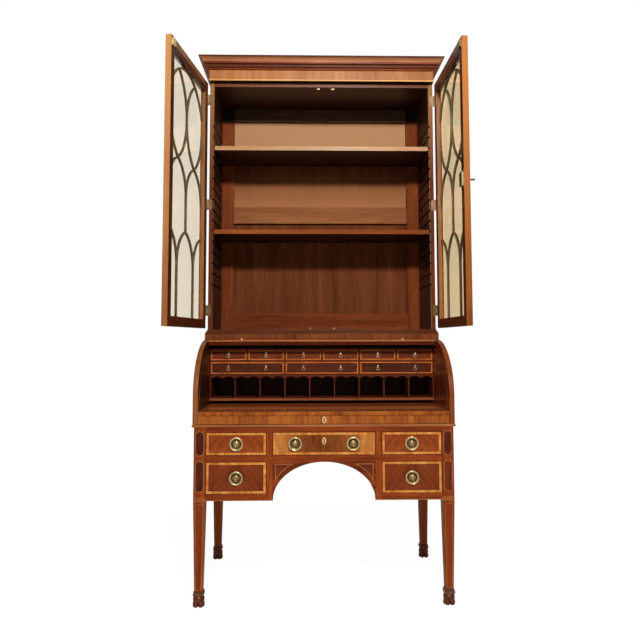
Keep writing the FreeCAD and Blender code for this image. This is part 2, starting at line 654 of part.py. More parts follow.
def valance(number):
    """A thin scalloped strip under the top of one pigeonhole."""
    low, high = bay("pigeonhole", number)
    face = "unit_front + valance_set_back"
    strip = board((low, high), (face, f"{face} + valance_thick"),
                  ("pigeonhole_top - valance_high", "pigeonhole_top"))
    chord = f"(({high}) - ({low}) - 4 * valance_end_wide) / 4"
    radius = f"({chord} * {chord} + scallop_rise * scallop_rise) / (2 * scallop_rise)"
    scallops = []
    for share in (-1, 1):
        middle = f"(({low}) + ({high})) / 2 + {share} * ({chord} + valance_end_wide)"
        scallops.append(rod(radius, "valance_thick + 2 * overrun",
                            (middle, f"{face} - overrun",
                             f"pigeonhole_top - valance_high + scallop_rise - ({radius})"), "y"))
    return cut(strip, *scallops)


node("pigeonhole_unit", *unit, *[valance(number) for number in range(9)])


def drawer_boards(x, floor, high, face, deep, prefix, gap_x):
    """The front, sides, back and bottom of a drawer in an opening."""
    low_x, high_x = f"({x[0]}) + {gap_x}", f"({x[1]}) - {gap_x}"
    front_thick, side_thick, bottom_thick, drop = (
        f"{prefix}_front_thick", f"{prefix}_side_thick", f"{prefix}_bottom_thick", f"{prefix}_side_drop")
    base = f"({floor}) + drawer_rest_gap"
    side_top = f"({floor}) + ({high}) - {drop}"
    behind = f"({face}) + {front_thick}"
    rear = f"({face}) + ({deep})"
    return [
        board((low_x, high_x), (face, behind), (base, f"({floor}) + ({high}) - drawer_gap")),
        board((low_x, f"{low_x} + {side_thick}"), (behind, rear), (base, side_top)),
        board((f"{high_x} - {side_thick}", high_x), (behind, rear), (base, side_top)),
        board((f"{low_x} + {side_thick}", f"{high_x} - {side_thick}"), (f"{rear} - {side_thick}", rear),
              (base, side_top)),
        board((f"{low_x} + {side_thick}", f"{high_x} - {side_thick}"), (behind, f"{rear} - {side_thick}"),
              (base, f"{base} + {bottom_thick}")),
    ]


# Ring pulls: a round plate with a boss and an eye, and a ring that hangs in the eye
EYE_SAG = "(ring_radius - sqrt(ring_radius * ring_radius - lug_wide * lug_wide / 4))"
EYE_HOLE = f"(ring_wire + {EYE_SAG} + eye_play)"
RING_OUT = "(plate_thick + ring_clear + ring_wire)"


def pull_plate(x, z):
    """The backplate, its boss and its eye, on the face of a table drawer."""
    pivot_z = f"{z} - ring_drop + ring_radius"
    pivot_y = f"front - {RING_OUT}"
    plate = rod("plate_radius", "plate_thick", (x, "front - plate_thick", z), "y")
    boss = lump("boss_radius", "boss_high", "boss_radius", (x, "front - plate_thick", z))
    eye = rod(f"{EYE_HOLE} + lug_wall", "lug_wide", (f"{x} - lug_wide / 2", pivot_y, pivot_z), "x")
    neck = board((f"{x} - lug_wide / 2", f"{x} + lug_wide / 2"), (pivot_y, "front"),
                 (f"{pivot_z} - {EYE_HOLE} - lug_wall", f"{pivot_z} + {EYE_HOLE} + lug_wall"))
    hole = rod(EYE_HOLE, "lug_wide + 2 * overrun", (f"{x} - lug_wide / 2 - overrun", pivot_y, pivot_z), "x")
    return cut(shared(fused(plate, boss, eye, neck),
                      board((f"{x} - 2 * plate_radius", f"{x} + 2 * plate_radius"),
                            (f"front - {RING_OUT} - 2 * plate_radius", "front"),
                            (f"{z} - 2 * plate_radius", f"{z} + 2 * plate_radius"))), hole)


def pull_ring(x, z):
    return ring("ring_radius", "ring_wire", (x, f"front - {RING_OUT}", f"{z} - ring_drop"))


SIDE_X = {side: mirrored(side, "side_drawer_inner", "leg_inner") for side in (-1, 1)}
CENTRE_X = ("-centre_half", "centre_half")
UPPER = ("upper_drawer_floor", "upper_drawer_high")
LOWER = ("lower_drawer_floor", "lower_drawer_high")
TABLE_DRAWERS = {
    "upper_left_drawer": (SIDE_X[-1], UPPER), "lower_left_drawer": (SIDE_X[-1], LOWER),
    "centre_drawer": (CENTRE_X, UPPER),
    "upper_right_drawer": (SIDE_X[1], UPPER), "lower_right_drawer": (SIDE_X[1], LOWER),
}
for name, (x, (floor, high)) in TABLE_DRAWERS.items():
    middle_x, middle_z = f"(({x[0]}) + ({x[1]})) / 2", f"({floor} + {high} / 2)"
    pieces = drawer_boards(x, floor, high, "front", "desk_deep - rail_deep - drawer_back_gap", "drawer",
                           "drawer_gap")
    spots = [middle_x]
    if name == "centre_drawer":
        spots = ["-pull_spread", "pull_spread"]
        pieces.append(lozenge(size_of("upper_drawer_floor") + size_of("upper_drawer_high") / 2
                              + size_of("keyhole_rise"), size_of("front")))
    pieces += [pull_plate(spot, middle_z) for spot in spots]
    node(name, *pieces)
    for number, spot in enumerate(spots, 1):
        suffix = f"_{number}" if len(spots) > 1 else ""
        node(f"{name}_ring{suffix}", pull_ring(spot, middle_z))

# Drop pulls of the small drawers: a ball on a post with an eye, and a small hanging ring
DROP_SAG = "(drop_radius - sqrt(drop_radius * drop_radius - drop_lug_wide * drop_lug_wide / 4))"
DROP_HOLE = f"(drop_wire + {DROP_SAG} + eye_play)"


def drop_post(x, z):
    pivot_z, pivot_y = f"{z} + drop_pivot_rise", "unit_front - drop_out"
    ball_z = f"{pivot_z} + drop_ball_rise"
    post = rod("drop_post_radius", "drop_out", (x, pivot_y, ball_z), "y")
    head = ball("drop_ball_radius", (x, pivot_y, ball_z))
    half = "drop_lug_wide / 2"
    eye = rod(f"{DROP_HOLE} + drop_lug_wall", "drop_lug_wide", (f"{x} - {half}", pivot_y, pivot_z), "x")
    neck = board((f"{x} - {half}", f"{x} + {half}"),
                 (f"{pivot_y} - {DROP_HOLE}", f"{pivot_y} + {DROP_HOLE}"), (pivot_z, ball_z))
    hole = rod(DROP_HOLE, "drop_lug_wide + 2 * overrun", (f"{x} - {half} - overrun", pivot_y, pivot_z), "x")
    return cut(fused(post, head, eye, neck), hole)


def drop_ring(x, z):
    centre = (x, "unit_front - drop_out", f"{z} + drop_pivot_rise - drop_radius")
    return ring("drop_radius", "drop_wire", centre)


# Small drawers of the pigeonhole unit, counted from the left
for tier, label in (("small_drawer", "small_drawer"), ("wide_drawer", "wide_drawer")):
    floor, top, bays, _ = TIERS[tier]
    for number in range(bays):
        x = bay(tier, number)
        middle_z = f"({floor} + {tier}_high / 2)"
        pieces = drawer_boards(x, floor, f"{tier}_high", "unit_front",
                               f"{tier}_deep - unit_back_thick - small_back_gap", "small", "drawer_gap")
        if tier == "wide_drawer":
            spots = ["(({}) + ({})) / 2".format(*bay("small_drawer", 2 * number + step)) for step in (0, 1)]
        else:
            spots = [f"(({x[0]}) + ({x[1]})) / 2"]
        pieces += [drop_post(spot, middle_z) for spot in spots]
        node(f"{label}_{number + 1}", *pieces)
        for step, spot in enumerate(spots):
            suffix = "" if len(spots) == 1 else "_left" if step == 0 else "_right"
            node(f"{label}_{number + 1}_drop{suffix}", drop_ring(spot, middle_z))

# Door hinges: three brass butts on each side, with the pin proud of the case
HINGES = ("hinge_low", "hinge_mid", "hinge_top")


def case_leaf_box(side, height, spare="0"):
    """The space of a case leaf: set into the front edge of the case side."""
    face = "hinge_depth + leaf_gap / 2 + knuckle_play"
    outer = f"hinge_line - knuckle_radius - knuckle_clear + {spare}"
    return board(mirrored(side, "bookcase_half - hinge_wide", outer),
                 (f"{face} - {spare}", f"{face} + leaf_thick"),
                 (f"door_base + {height} - hinge_high / 2", f"door_base + {height} + hinge_high / 2"))


def case_leaf(side, height):
    """The case half of a hinge: leaf, two end knuckles and the pin."""
    x, y, z = f"{side} * hinge_line", "hinge_depth", f"door_base + {height} - hinge_high / 2"
    pieces = [case_leaf_box(side, height), rod("pin_radius", "hinge_high", (x, y, z))]
    for start in (z, f"{z} + hinge_high - knuckle_end"):
        pieces.append(rod("knuckle_radius", "knuckle_end", (x, y, start)))
        reach = mirrored(side, "bookcase_half - hinge_wide / 2", "hinge_line")
        pieces.append(board(reach, ("hinge_depth + leaf_gap / 2 + knuckle_play",
                                    "hinge_depth + leaf_gap / 2 + knuckle_play + leaf_thick"),
                            (start, f"{start} + knuckle_end")))
    return fused(*pieces)


def door_leaf(side, height):
    """The door half of a hinge, in the closed door's own frame: leaf and middle knuckle."""
    z = f"{height} - hinge_high / 2"
    start, long = f"{z} + knuckle_end + knuckle_play", "hinge_high - 2 * knuckle_end - 2 * knuckle_play"
    y = ("-leaf_gap / 2 - leaf_thick", "-leaf_gap / 2")
    inner = ("-pin_out - hinge_wide", "-knuckle_radius - knuckle_clear")
    leaf = board(mirrored(side, *inner), y, (z, f"{z} + hinge_high"))
    tab = board(mirrored(side, "-pin_out - hinge_wide / 2", "0"), y, (start, f"{start} + {long}"))
    barrel = rod("knuckle_radius", long, ("0", "0", start))
    bore = rod("pin_radius + pin_play", "hinge_high + 2 * overrun", ("0", "0", f"{z} - overrun"))
    return cut(fused(leaf, tab, barrel), bore)


# Bookcase sides: grooved inside for the shelves, recessed in front for the hinges
GROOVES = 16


def bookcase_side(side):
    blank = board(mirrored(side, "bookcase_inner", "bookcase_half"), ("bookcase_face", "back"),
                  ("bookcase_base", "bookcase_top"))
    tools = [board(mirrored(side, "bookcase_inner - overrun", "bookcase_inner + shelf_groove_deep"),
                   ("bookcase_face - overrun", "back_face"),
                   (f"bookcase_floor + groove_first + {number} * groove_pitch - groove_high / 2",
                    f"bookcase_floor + groove_first + {number} * groove_pitch + groove_high / 2"))
             for number in range(GROOVES)]
    tools += [case_leaf_box(side, height, "overrun") for height in HINGES]
    return cut(blank, *tools)


node("bookcase_sides", bookcase_side(-1), bookcase_side(1))

# Bookcase floor, top and back: a framed back with two panels behind it
ACROSS = ("-bookcase_inner", "bookcase_inner")
FRAME_Y = ("back_face", "back_face + back_frame_thick")
STILE_INNER = "bookcase_inner - back_stile_wide"
RAIL_X = (f"-({STILE_INNER})", STILE_INNER)
MID_RAIL = ("bookcase_floor + back_mid_rail", "bookcase_floor + back_mid_rail + back_rail_wide")
TOP_RAIL_FLOOR = "bookcase_ceiling - back_top_rail_wide"
carcass = [board(ACROSS, ("bookcase_face", "back"), ("bookcase_base", "bookcase_floor")),
           board(ACROSS, ("bookcase_face", "back"), ("bookcase_ceiling", "bookcase_top")),
           board(RAIL_X, FRAME_Y, ("bookcase_floor", "bookcase_floor + back_rail_wide")),
           board(RAIL_X, FRAME_Y, MID_RAIL),
           board(RAIL_X, FRAME_Y, (TOP_RAIL_FLOOR, "bookcase_ceiling"))]
for side in (-1, 1):
    carcass.append(board(mirrored(side, STILE_INNER, "bookcase_inner"), FRAME_Y,
                            ("bookcase_floor", "bookcase_ceiling")))
PANEL_X = (f"-({STILE_INNER} + panel_lap)", f"{STILE_INNER} + panel_lap")
PANEL_Y = ("back_face + back_frame_thick", "back")
carcass.append(board(PANEL_X, PANEL_Y, ("bookcase_floor + back_rail_wide - panel_lap",
                                        f"{MID_RAIL[0]} + panel_lap")))
carcass.append(board(PANEL_X, PANEL_Y, (f"{MID_RAIL[1]} - panel_lap", f"{TOP_RAIL_FLOOR} + panel_lap")))
node("bookcase_carcass", *carcass)


# Adjustable shelves: tongued into a pair of grooves
def shelf(groove):
    middle = f"bookcase_floor + groove_first + {groove} * groove_pitch"
    y = ("bookcase_face + shelf_front", "back_face - shelf_back_gap")
    plank = board(("-bookcase_inner + shelf_play", "bookcase_inner - shelf_play"), y,
                  (f"{middle} - shelf_thick / 2", f"{middle} + shelf_thick / 2"))
    tongue = board(("-bookcase_inner - shelf_tongue", "bookcase_inner + shelf_tongue"), y,
                   (f"{middle} - groove_high / 2 + shelf_tongue_play",
                    f"{middle} + groove_high / 2 - shelf_tongue_play"))
    return fused(plank, tongue)


node("lower_shelf", shelf("lower_shelf_groove"))
node("upper_shelf", shelf("upper_shelf_groove"))


# Waist moulding: a flat band with a small ogee above it
def waist_outline():
    base, high = size_of("gable_top"), size_of("waist_high")
    flat, out, top_out = size_of("waist_flat_high"), size_of("waist_proud"), size_of("waist_top_proud")
    middle_z, middle_out = base + (flat + high) / 2, (out + top_out) / 2
    fall = (out - top_out) / 4
    rise = (high - flat) / 4
    return [line(0, base, out, base), line(out, base, out, base + flat),
            arc(out, base + flat, middle_out + fall + fall / 2, middle_z - rise, middle_out, middle_z),
            arc(middle_out, middle_z, middle_out - fall - fall / 2, middle_z + rise, top_out, base + high),
            line(top_out, base + high, 0, base + high), line(0, base + high, 0, base)]


node("waist_moulding", *mitred_runs(waist_outline(), size_of("bookcase_half"), size_of("bookcase_face"),
                                    size_of("back")))


# Cornice: bead, flat frieze, step, ogee, fillet, cove and cap
def cornice_outline():
    base = size_of("bookcase_top")
    bead_top = base + size_of("bead_high")
    frieze_top = bead_top + size_of("frieze_high")
    step_top = frieze_top + size_of("step_high")
    ogee_top = step_top + size_of("ogee_high")
    fillet_top = ogee_top + size_of("fillet_high")
    cove_top = fillet_top + size_of("cove_high")
    top = cove_top + size_of("cap_high")
    bead, step = size_of("bead_out"), size_of("step_out")
    ogee, fillet, cove = size_of("ogee_out"), size_of("fillet_out"), size_of("cove_out")
    inside = size_of("bookcase_front") - size_of("frieze_front") - size_of("bookcase_side_thick")
    middle_x, middle_y = (step + ogee) / 2, (step_top + ogee_top) / 2
    swell = (ogee - step) / 8
    share = size_of("cove_share")
    cove_x, cove_y = fillet + (cove - fillet) * share, cove_top - (cove_top - fillet_top) * share
    return [line(inside, base, 0, base), arc(0, base, bead, (base + bead_top) / 2, 0, bead_top),
            line(0, bead_top, 0, frieze_top), line(0, frieze_top, step, frieze_top),
            line(step, frieze_top, step, step_top),
            arc(step, step_top, (step + middle_x) / 2 + swell, (step_top + middle_y) / 2 - swell,
                middle_x, middle_y),
            arc(middle_x, middle_y, (middle_x + ogee) / 2 - swell, (middle_y + ogee_top) / 2 + swell,
                ogee, ogee_top),
            line(ogee, ogee_top, fillet, ogee_top), line(fillet, ogee_top, fillet, fillet_top),
            arc(fillet, fillet_top, cove_x, cove_y, cove, cove_top), line(cove, cove_top, cove, top),
            line(cove, top, inside, top), line(inside, top, inside, base)]


node("cornice", *mitred_runs(cornice_outline(), size_of("bookcase_half"), -size_of("frieze_front"),
                             size_of("back")))


# Glazed doors, drawn closed in the frame of their hinge line, then swung open
def tracery(side):
    """An arch over interlaced pointed ovals, pointed arches and upright bars.

    It is drawn as a flat figure, x from the middle of the glass and y up from its top,
    and cut twice: a bar outside the glass and a rib inside it.
    """
    half, quarter, bar, high = (
        size_of(name) for name in ("glass_half", "quarter", "bar_wide", "glass_high"))

    def radius_for(rise, reach):
        return (rise * rise + reach * reach) / (2 * reach)

    def limb(x, spring, rise, way):
        """A quarter of an oval: from its springing at x to its apex, away or back by a quarter."""
        radius = radius_for(rise, quarter)
        turn_by = math.degrees(math.asin(rise / radius))
        middle = 0 if way < 0 else 180
        low, high_turn = (middle, middle + turn_by) if way < 0 else (middle - turn_by, middle)
        return sector(x + way * radius, -spring, radius, bar, low, high_turn)

    crown_radius = radius_for(half, size_of("crown_spring"))
    crown_turn = math.degrees(math.asin(half / crown_radius))
    apex = crown_radius - math.sqrt(crown_radius * crown_radius - quarter * quarter)
    oval, upper, lower = (
        size_of(name) for name in ("oval_half_high", "upper_arch_high", "lower_arch_high"))
    waist = apex + oval
    upper_spring = waist + oval + upper
    lower_spring = upper_spring + size_of("middle_bar") + lower
    faces = [sector(0, -crown_radius, crown_radius, bar, 90 - crown_turn, 90 + crown_turn),
             Part.makePlane(bar, size_of("middle_bar") + bar,
                            Vector(-bar / 2, -upper_spring - size_of("middle_bar") - bar, 0))]
    oval_radius = radius_for(oval, quarter)
    oval_turn = math.degrees(math.asin(oval / oval_radius))
    for way in (-1, 1):
        middle = 0 if way > 0 else 180
        # inner side of the oval, full height; outer side, lower half
        faces.append(sector(way * oval_radius, -waist, oval_radius, bar,
                            180 - middle - oval_turn, 180 - middle + oval_turn))
        outer = (-oval_turn, 0) if way > 0 else (180, 180 + oval_turn)
        faces.append(sector(way * (half - oval_radius), -waist, oval_radius, bar, *outer))
        faces.append(limb(0, upper_spring, upper, way))
        faces.append(limb(way * half, upper_spring, upper, -way))
        faces.append(limb(way * quarter, lower_spring, lower, -way))
        faces.append(limb(way * quarter, lower_spring, lower, way))
        faces.append(Part.makePlane(bar, high - lower_spring, Vector(way * quarter - bar / 2, -high, 0)))
    pieces = []
    for thick, inside in ((size_of("bar_thick"), -size_of("glass_inset") - size_of("glass_thick")
                           - size_of("glass_play")),
                          (size_of("rib_thick"), size_of("rib_thick") + size_of("glass_play")
                           - size_of("glass_inset"))):
        bars = [face.extrude(Vector(0, 0, thick)) for face in faces]
        opening = Part.makeBox(2 * half, high, thick, Vector(-half, -high, 0))
        lattice = bars[0].multiFuse(bars[1:]).common(opening)
        lattice = lattice.removeSplitter()
        middle_x = -side * (size_of("door_free") + size_of("pin_out")) / 2
        lattice.Placement = FreeCAD.Placement(
            Vector(middle_x, inside, size_of("door_high") - size_of("door_top_rail")),
            Rotation(Vector(1, 0, 0), 90))
        pieces.append(made(lattice))
    return pieces


def door_frame(side):
    """Two stiles between which two rails are tenoned, recessed for the hinges."""
    y = ("-door_thick", "0")
    free, member = "door_free", "door_member_wide"
    rail_x = mirrored(side, f"-{free} + {member}", f"-pin_out - {member}")
    hinge_stile = cut(board(mirrored(side, f"-pin_out - {member}", "-pin_out"), y, ("0", "door_high")),
                      *[board(mirrored(side, "-pin_out - hinge_wide", "-pin_out + overrun"),
                              ("-leaf_gap / 2 - leaf_thick", "overrun"),
                              (f"{height} - hinge_high / 2", f"{height} + hinge_high / 2"))
                        for height in HINGES])
    keyhole = rod("key_hole_radius", "key_in + key_hole_spare + overrun",
                  (f"{-side} * (door_free - key_inset)", "-door_thick - overrun", "lock_rise"), "y")
    free_stile = board(mirrored(side, f"-{free}", f"-{free} + {member}"), y, ("0", "door_high"))
    if side > 0:
        free_stile = cut(free_stile, keyhole)
    return [hinge_stile, free_stile, board(rail_x, y, ("0", member)),
            board(rail_x, y, ("door_high - door_top_rail", "door_high"))]


def door_pane(side):
    x = mirrored(side, "-door_free + door_member_wide + glass_play",
                 "-pin_out - door_member_wide - glass_play")
    return board(x, ("-glass_inset - glass_thick", "-glass_inset"),
                 ("door_member_wide + glass_play", "door_high - door_top_rail - glass_play"))


def door_brasses(side):
    """Hinge halves, the catch at the top and, on the right, the lock inside the stile."""
    pieces = [door_leaf(side, height) for height in HINGES]
    pieces.append(board(mirrored(side, "-door_free + catch_inset", "-door_free + catch_inset + catch_wide"),
                        ("0", "catch_proud"),
                        ("door_high - catch_drop - catch_high", "door_high - catch_drop")))
    if side > 0:
        pieces.append(board(mirrored(side, "-door_free", "-door_free + lock_plate_wide"),
                            ("0", "lock_plate_thick"),
                            ("lock_rise - lock_plate_high / 2", "lock_rise + lock_plate_high / 2")))
    return pieces


def door_key(side):
    """The key: shaft in the keyhole, collar and bow outside, the bow lying level."""
    x = f"{-side} * (door_free - key_inset)"
    outside = "-door_thick - key_out"
    shaft = rod("key_shaft_radius", "key_out + key_in", (x, outside, "lock_rise"), "y")
    collar = rod("key_collar_radius", "key_collar_long", (x, "-door_thick - key_collar_long - key_wire",
                                                         "lock_rise"), "y")
    bow = doc.addObject("Part::Torus", "bow")
    bind(bow, "Radius1", "key_bow_radius")
    bind(bow, "Radius2", "key_wire")
    place(bow, x, f"{outside} - key_bow_radius", "lock_rise")
    return fused(shaft, collar, bow)


for side, name in ((-1, "left"), (1, "right")):
    leaves = [node(f"{name}_door_frame", *door_frame(side)), node(f"{name}_door_tracery", *tracery(side)),
              node(f"{name}_door_glass", door_pane(side)), node(f"{name}_door_brasses", *door_brasses(side))]
    if side > 0:
        leaves.append(node("door_key", door_key(side)))
    for leaf in leaves:
        turn(leaf, Vector(0, 0, side), f"{name}_door_open")
        place(leaf, f"{side} * hinge_line", "hinge_depth", "door_base")

# Brasses of the bookcase: hinge halves, strikes under the top and pegs on the floor
brasses = [case_leaf(side, height) for side in (-1, 1) for height in HINGES]
for side, strike in ((-1, "left_strike"), (1, "right_strike")):
    strike_x = f"{side} * {strike}"
    brasses.append(board((f"{strike_x} - strike_wide / 2", f"{strike_x} + strike_wide / 2"),
                         ("bookcase_face + strike_set_back",
                          "bookcase_face + strike_set_back + strike_deep"),
                         ("bookcase_ceiling - strike_high", "bookcase_ceiling")))
    brasses.append(rod("peg_radius", "peg_high", (f"{side} * peg_spread", "bookcase_face + peg_set_back",
                                                  "bookcase_floor")))
node("bookcase_brasses", *brasses)

doc.recompute()

for item in doc.Objects:
    if "Invalid" in item.State or "Error" in item.State:
        raise SystemExit(f"{item.Name} ({item.Label}) failed: {item.State}")
for whole in NODES:
    if whole.Shape.isNull() or not whole.Shape.isValid() or not whole.Shape.Solids:
        raise SystemExit(f"{whole.Label} has no valid shape")

os.makedirs("parts", exist_ok=True)
for whole in NODES:
    whole.Shape.exportStep(f"parts/{whole.Label}.step")
print(len(NODES), "nodes,", sum(len(whole.Shape.Solids) for whole in NODES), "solids")
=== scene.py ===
import math

import bmesh
import bpy
from mathutils import Matrix, Vector


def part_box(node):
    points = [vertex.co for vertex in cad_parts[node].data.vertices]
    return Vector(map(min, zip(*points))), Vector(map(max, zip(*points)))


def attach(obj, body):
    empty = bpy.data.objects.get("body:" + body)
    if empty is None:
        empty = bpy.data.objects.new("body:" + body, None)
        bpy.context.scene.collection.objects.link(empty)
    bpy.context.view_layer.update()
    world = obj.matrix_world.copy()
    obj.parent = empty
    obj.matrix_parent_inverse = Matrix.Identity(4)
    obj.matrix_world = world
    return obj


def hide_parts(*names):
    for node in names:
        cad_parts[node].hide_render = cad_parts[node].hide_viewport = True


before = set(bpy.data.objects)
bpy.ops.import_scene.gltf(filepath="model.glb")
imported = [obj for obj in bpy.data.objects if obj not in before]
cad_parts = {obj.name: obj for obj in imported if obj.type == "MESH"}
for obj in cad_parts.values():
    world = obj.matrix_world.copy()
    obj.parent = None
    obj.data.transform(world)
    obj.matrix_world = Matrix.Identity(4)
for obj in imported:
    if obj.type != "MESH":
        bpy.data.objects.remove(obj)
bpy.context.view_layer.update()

# Paper-white surroundings: a floor and a world that the camera, and whatever the
# glass and the brass mirror, see as plain white, with soft lamps in front.
MM = 0.001


def shader_node(tree, kind, inputs, **settings):
    """A new node with its settings, its inputs set to a value or fed by another node's output."""
    made = tree.nodes.new("ShaderNode" + kind)
    for setting, value in settings.items():
        setattr(made, setting, value)
    for place, value in inputs.items():
        if isinstance(value, bpy.types.NodeSocket):
            tree.links.new(value, made.inputs[place])
        else:
            made.inputs[place].default_value = value
    return made


def maths(tree, operation, *feeds):
    """The result of an operation on some values or outputs of nodes."""
    return shader_node(tree, "Math", dict(enumerate(feeds)), operation=operation).outputs[0]


def own_place(tree):
    """Where a point of a piece is, in the frame of the piece."""
    return shader_node(tree, "TexCoord", {}).outputs["Object"]


def new_material(name):
    """A material with its node tree and its Principled shader."""
    material = bpy.data.materials.new(name)
    material.use_nodes = True
    return material, material.node_tree, material.node_tree.nodes["Principled BSDF"]


world = bpy.data.worlds.new("studio")
bpy.context.scene.world = world
world.use_nodes = True
tree = world.node_tree
seen = shader_node(tree, "LightPath", {}).outputs
paper = shader_node(tree, "Background", {"Color": (1, 1, 1, 1), "Strength": 1.0})
fill = tree.nodes["Background"]
fill.inputs["Color"].default_value = (1.0, 0.985, 0.96, 1)
fill.inputs["Strength"].default_value = 0.08
straight = maths(tree, "MAXIMUM", seen["Is Camera Ray"], seen["Is Transmission Ray"])
share = maths(tree, "MAXIMUM", straight, maths(tree, "MULTIPLY", seen["Is Glossy Ray"], 0.3))
surroundings = shader_node(tree, "MixShader", {0: share, 1: fill.outputs[0], 2: paper.outputs[0]})
tree.links.new(surroundings.outputs[0], tree.nodes["World Output"].inputs["Surface"])

floor_mesh = bmesh.new()
bmesh.ops.create_grid(floor_mesh, x_segments=1, y_segments=1, size=12)
mesh = bpy.data.meshes.new("floor")
floor_mesh.to_mesh(mesh)
floor_mesh.free()
floor = bpy.data.objects.new("floor", mesh)
bpy.context.collection.objects.link(floor)
material, tree, shader = new_material("white floor")
shader.inputs["Base Color"].default_value = (0.86, 0.85, 0.83, 1)
shader.inputs["Roughness"].default_value = 0.9
glow = shader_node(tree, "Emission", {"Color": (1, 1, 1, 1), "Strength": 1.06})
away = shader_node(tree, "VectorMath", {0: own_place(tree)}, operation="LENGTH").outputs["Value"]
fade = shader_node(tree, "MapRange", {"Value": away, "From Min": 1.2, "From Max": 4.5, "To Min": 0.9,
                                      "To Max": 1.0}).outputs["Result"]
seen = shader_node(tree, "LightPath", {}).outputs
straight = maths(tree, "MAXIMUM", seen["Is Camera Ray"], seen["Is Transmission Ray"])
share = maths(tree, "MULTIPLY", straight, fade)
blend = shader_node(tree, "MixShader", {0: share, 1: shader.outputs[0], 2: glow.outputs[0]})
tree.links.new(blend.outputs[0], tree.nodes["Material Output"].inputs["Surface"])
mesh.materials.append(material)

for name, place, aim, size, power, lamp_colour in (
        ("key above the camera", (0.25, -2.9, 2.75), (0, 0, 1.25), 0.25, 98, (1.0, 0.96, 0.9)),
        ("left window", (-3.0, -3.4, 2.2), (0, 0, 1.0), 2.4, 5, (1.0, 0.98, 0.96)),
        ("right window", (3.0, -3.4, 2.0), (0, 0, 0.9), 2.4, 6, (1.0, 0.98, 0.96)),
        ("left side fill", (-4.2, 1.0, 2.0), (0, 0.1, 1.1), 2.4, 40, (1.0, 0.98, 0.96)),
        ("right side fill", (4.2, 1.0, 2.0), (0, 0.1, 1.1), 2.4, 40, (1.0, 0.98, 0.96)),
        ("back fill", (0.5, 4.2, 2.6), (0, 0, 1.2), 3.0, 70, (1.0, 0.98, 0.96))):
    lamp = bpy.data.lights.new(name, "AREA")
    lamp.shape = "SQUARE"
    lamp.size = size
    lamp.energy = power
    lamp.color = lamp_colour
    lamp_object = bpy.data.objects.new(name, lamp)
    lamp_object.location = place
    lamp_object.visible_camera = lamp_object.visible_transmission = False
    lamp_object.visible_glossy = "fill" not in name
    lamp_object.rotation_euler = (Vector(aim) - Vector(place)).to_track_quat("-Z", "Y").to_euler()
    bpy.context.collection.objects.link(lamp_object)

# The camera stands at chest height in front, a little left of the middle, and looks up
# by a few degrees, so the case narrows slightly upwards.
PICTURE, SENSOR = 640, 36
camera_data = bpy.data.cameras.new("camera")
camera_data.sensor_width = SENSOR
camera_data.lens = 676.9 / PICTURE * SENSOR
camera_data.shift_y = -31.36 / PICTURE
camera = bpy.data.objects.new("camera", camera_data)
yaw, pitch, roll = math.radians(-1.2286), math.radians(4.3412), math.radians(-0.0992)
camera.matrix_world = (Matrix.Translation((-0.0718, -2.9434, 1.0031)) @ Matrix.Rotation(yaw, 4, "Z")
                       @ Matrix.Rotation(math.pi / 2 + pitch, 4, "X") @ Matrix.Rotation(roll, 4, "Z"))
bpy.context.collection.objects.link(camera)
bpy.context.scene.camera = camera
bpy.context.scene.view_settings.view_transform = "Standard"

# Case front and carcass: rails, stiles, panels and dust boards of solid mahogany, planed,
# stained red brown and French polished. Every board is cut with its grain along its length.


def node_group(name, inputs, outputs):
    """A shader node group with named sockets, and the sockets as the nodes inside it use them."""
    group = bpy.data.node_groups.new(name, "ShaderNodeTree")
    for way, sockets in (("INPUT", inputs), ("OUTPUT", outputs)):
        for socket, kind in sockets.items():
            group.interface.new_socket(socket, in_out=way, socket_type="NodeSocket" + kind)
    return group, group.nodes.new("NodeGroupInput").outputs, group.nodes.new("NodeGroupOutput").inputs


def blended(tree, share, first, second):
    """The colour that is a share of the way from the first to the second."""
    return shader_node(tree, "Mix", {0: share, 6: first, 7: second}, data_type="RGBA").outputs[2]


def tint(red, green, blue):
    """A colour as a shader socket takes it, from the three numbers that a paint chart gives."""
    return [((part / 255 + 0.055) / 1.055) ** 2.4 for part in (red, green, blue)] + [1]


wood_figure, given, results = node_group(
    "wood figure", {"Vector": "Vector", "Dark": "Color", "Light": "Color", "Figure": "Float", "Pores": "Float",
                    "Uneven": "Float"}, {"Color": "Color", "Roughness": "Float", "Height": "Float"})
board = shader_node(wood_figure, "Attribute", {}, attribute_name="board").outputs["Fac"]
place = shader_node(wood_figure, "VectorMath", {0: board, 1: (31, 57, 43), 2: given["Vector"]},
                    operation="MULTIPLY_ADD").outputs[0]
cloud = shader_node(wood_figure, "TexNoise", {"Vector": place, "Scale": 0.21, "Detail": 2}).outputs[0]
streak = shader_node(wood_figure, "TexNoise", {"Vector": place, "Scale": 1.0, "Detail": 6, "Roughness": 0.62,
                                               "Distortion": 0.5}).outputs[0]
pore = shader_node(wood_figure, "TexNoise", {"Vector": place, "Scale": 7.0, "Detail": 2}).outputs[0]
pore = shader_node(wood_figure, "MapRange", {"Value": pore, "From Min": 0.56, "From Max": 0.68}).outputs[0]
depth = maths(wood_figure, "MULTIPLY", maths(wood_figure, "SUBTRACT", streak, 0.5),
              maths(wood_figure, "MULTIPLY", given["Figure"], 2.6))
depth = maths(wood_figure, "MULTIPLY_ADD", maths(wood_figure, "SUBTRACT", cloud, 0.5), 1.3, depth)
depth = maths(wood_figure, "MULTIPLY_ADD", maths(wood_figure, "SUBTRACT", board, 0.5), given["Uneven"], depth)
depth = shader_node(wood_figure, "Math", {0: depth, 1: 0.5}, operation="ADD", use_clamp=True).outputs[0]
pore = maths(wood_figure, "MULTIPLY", pore, given["Pores"])
deep = blended(wood_figure, 0.55, given["Dark"], (0, 0, 0, 1))
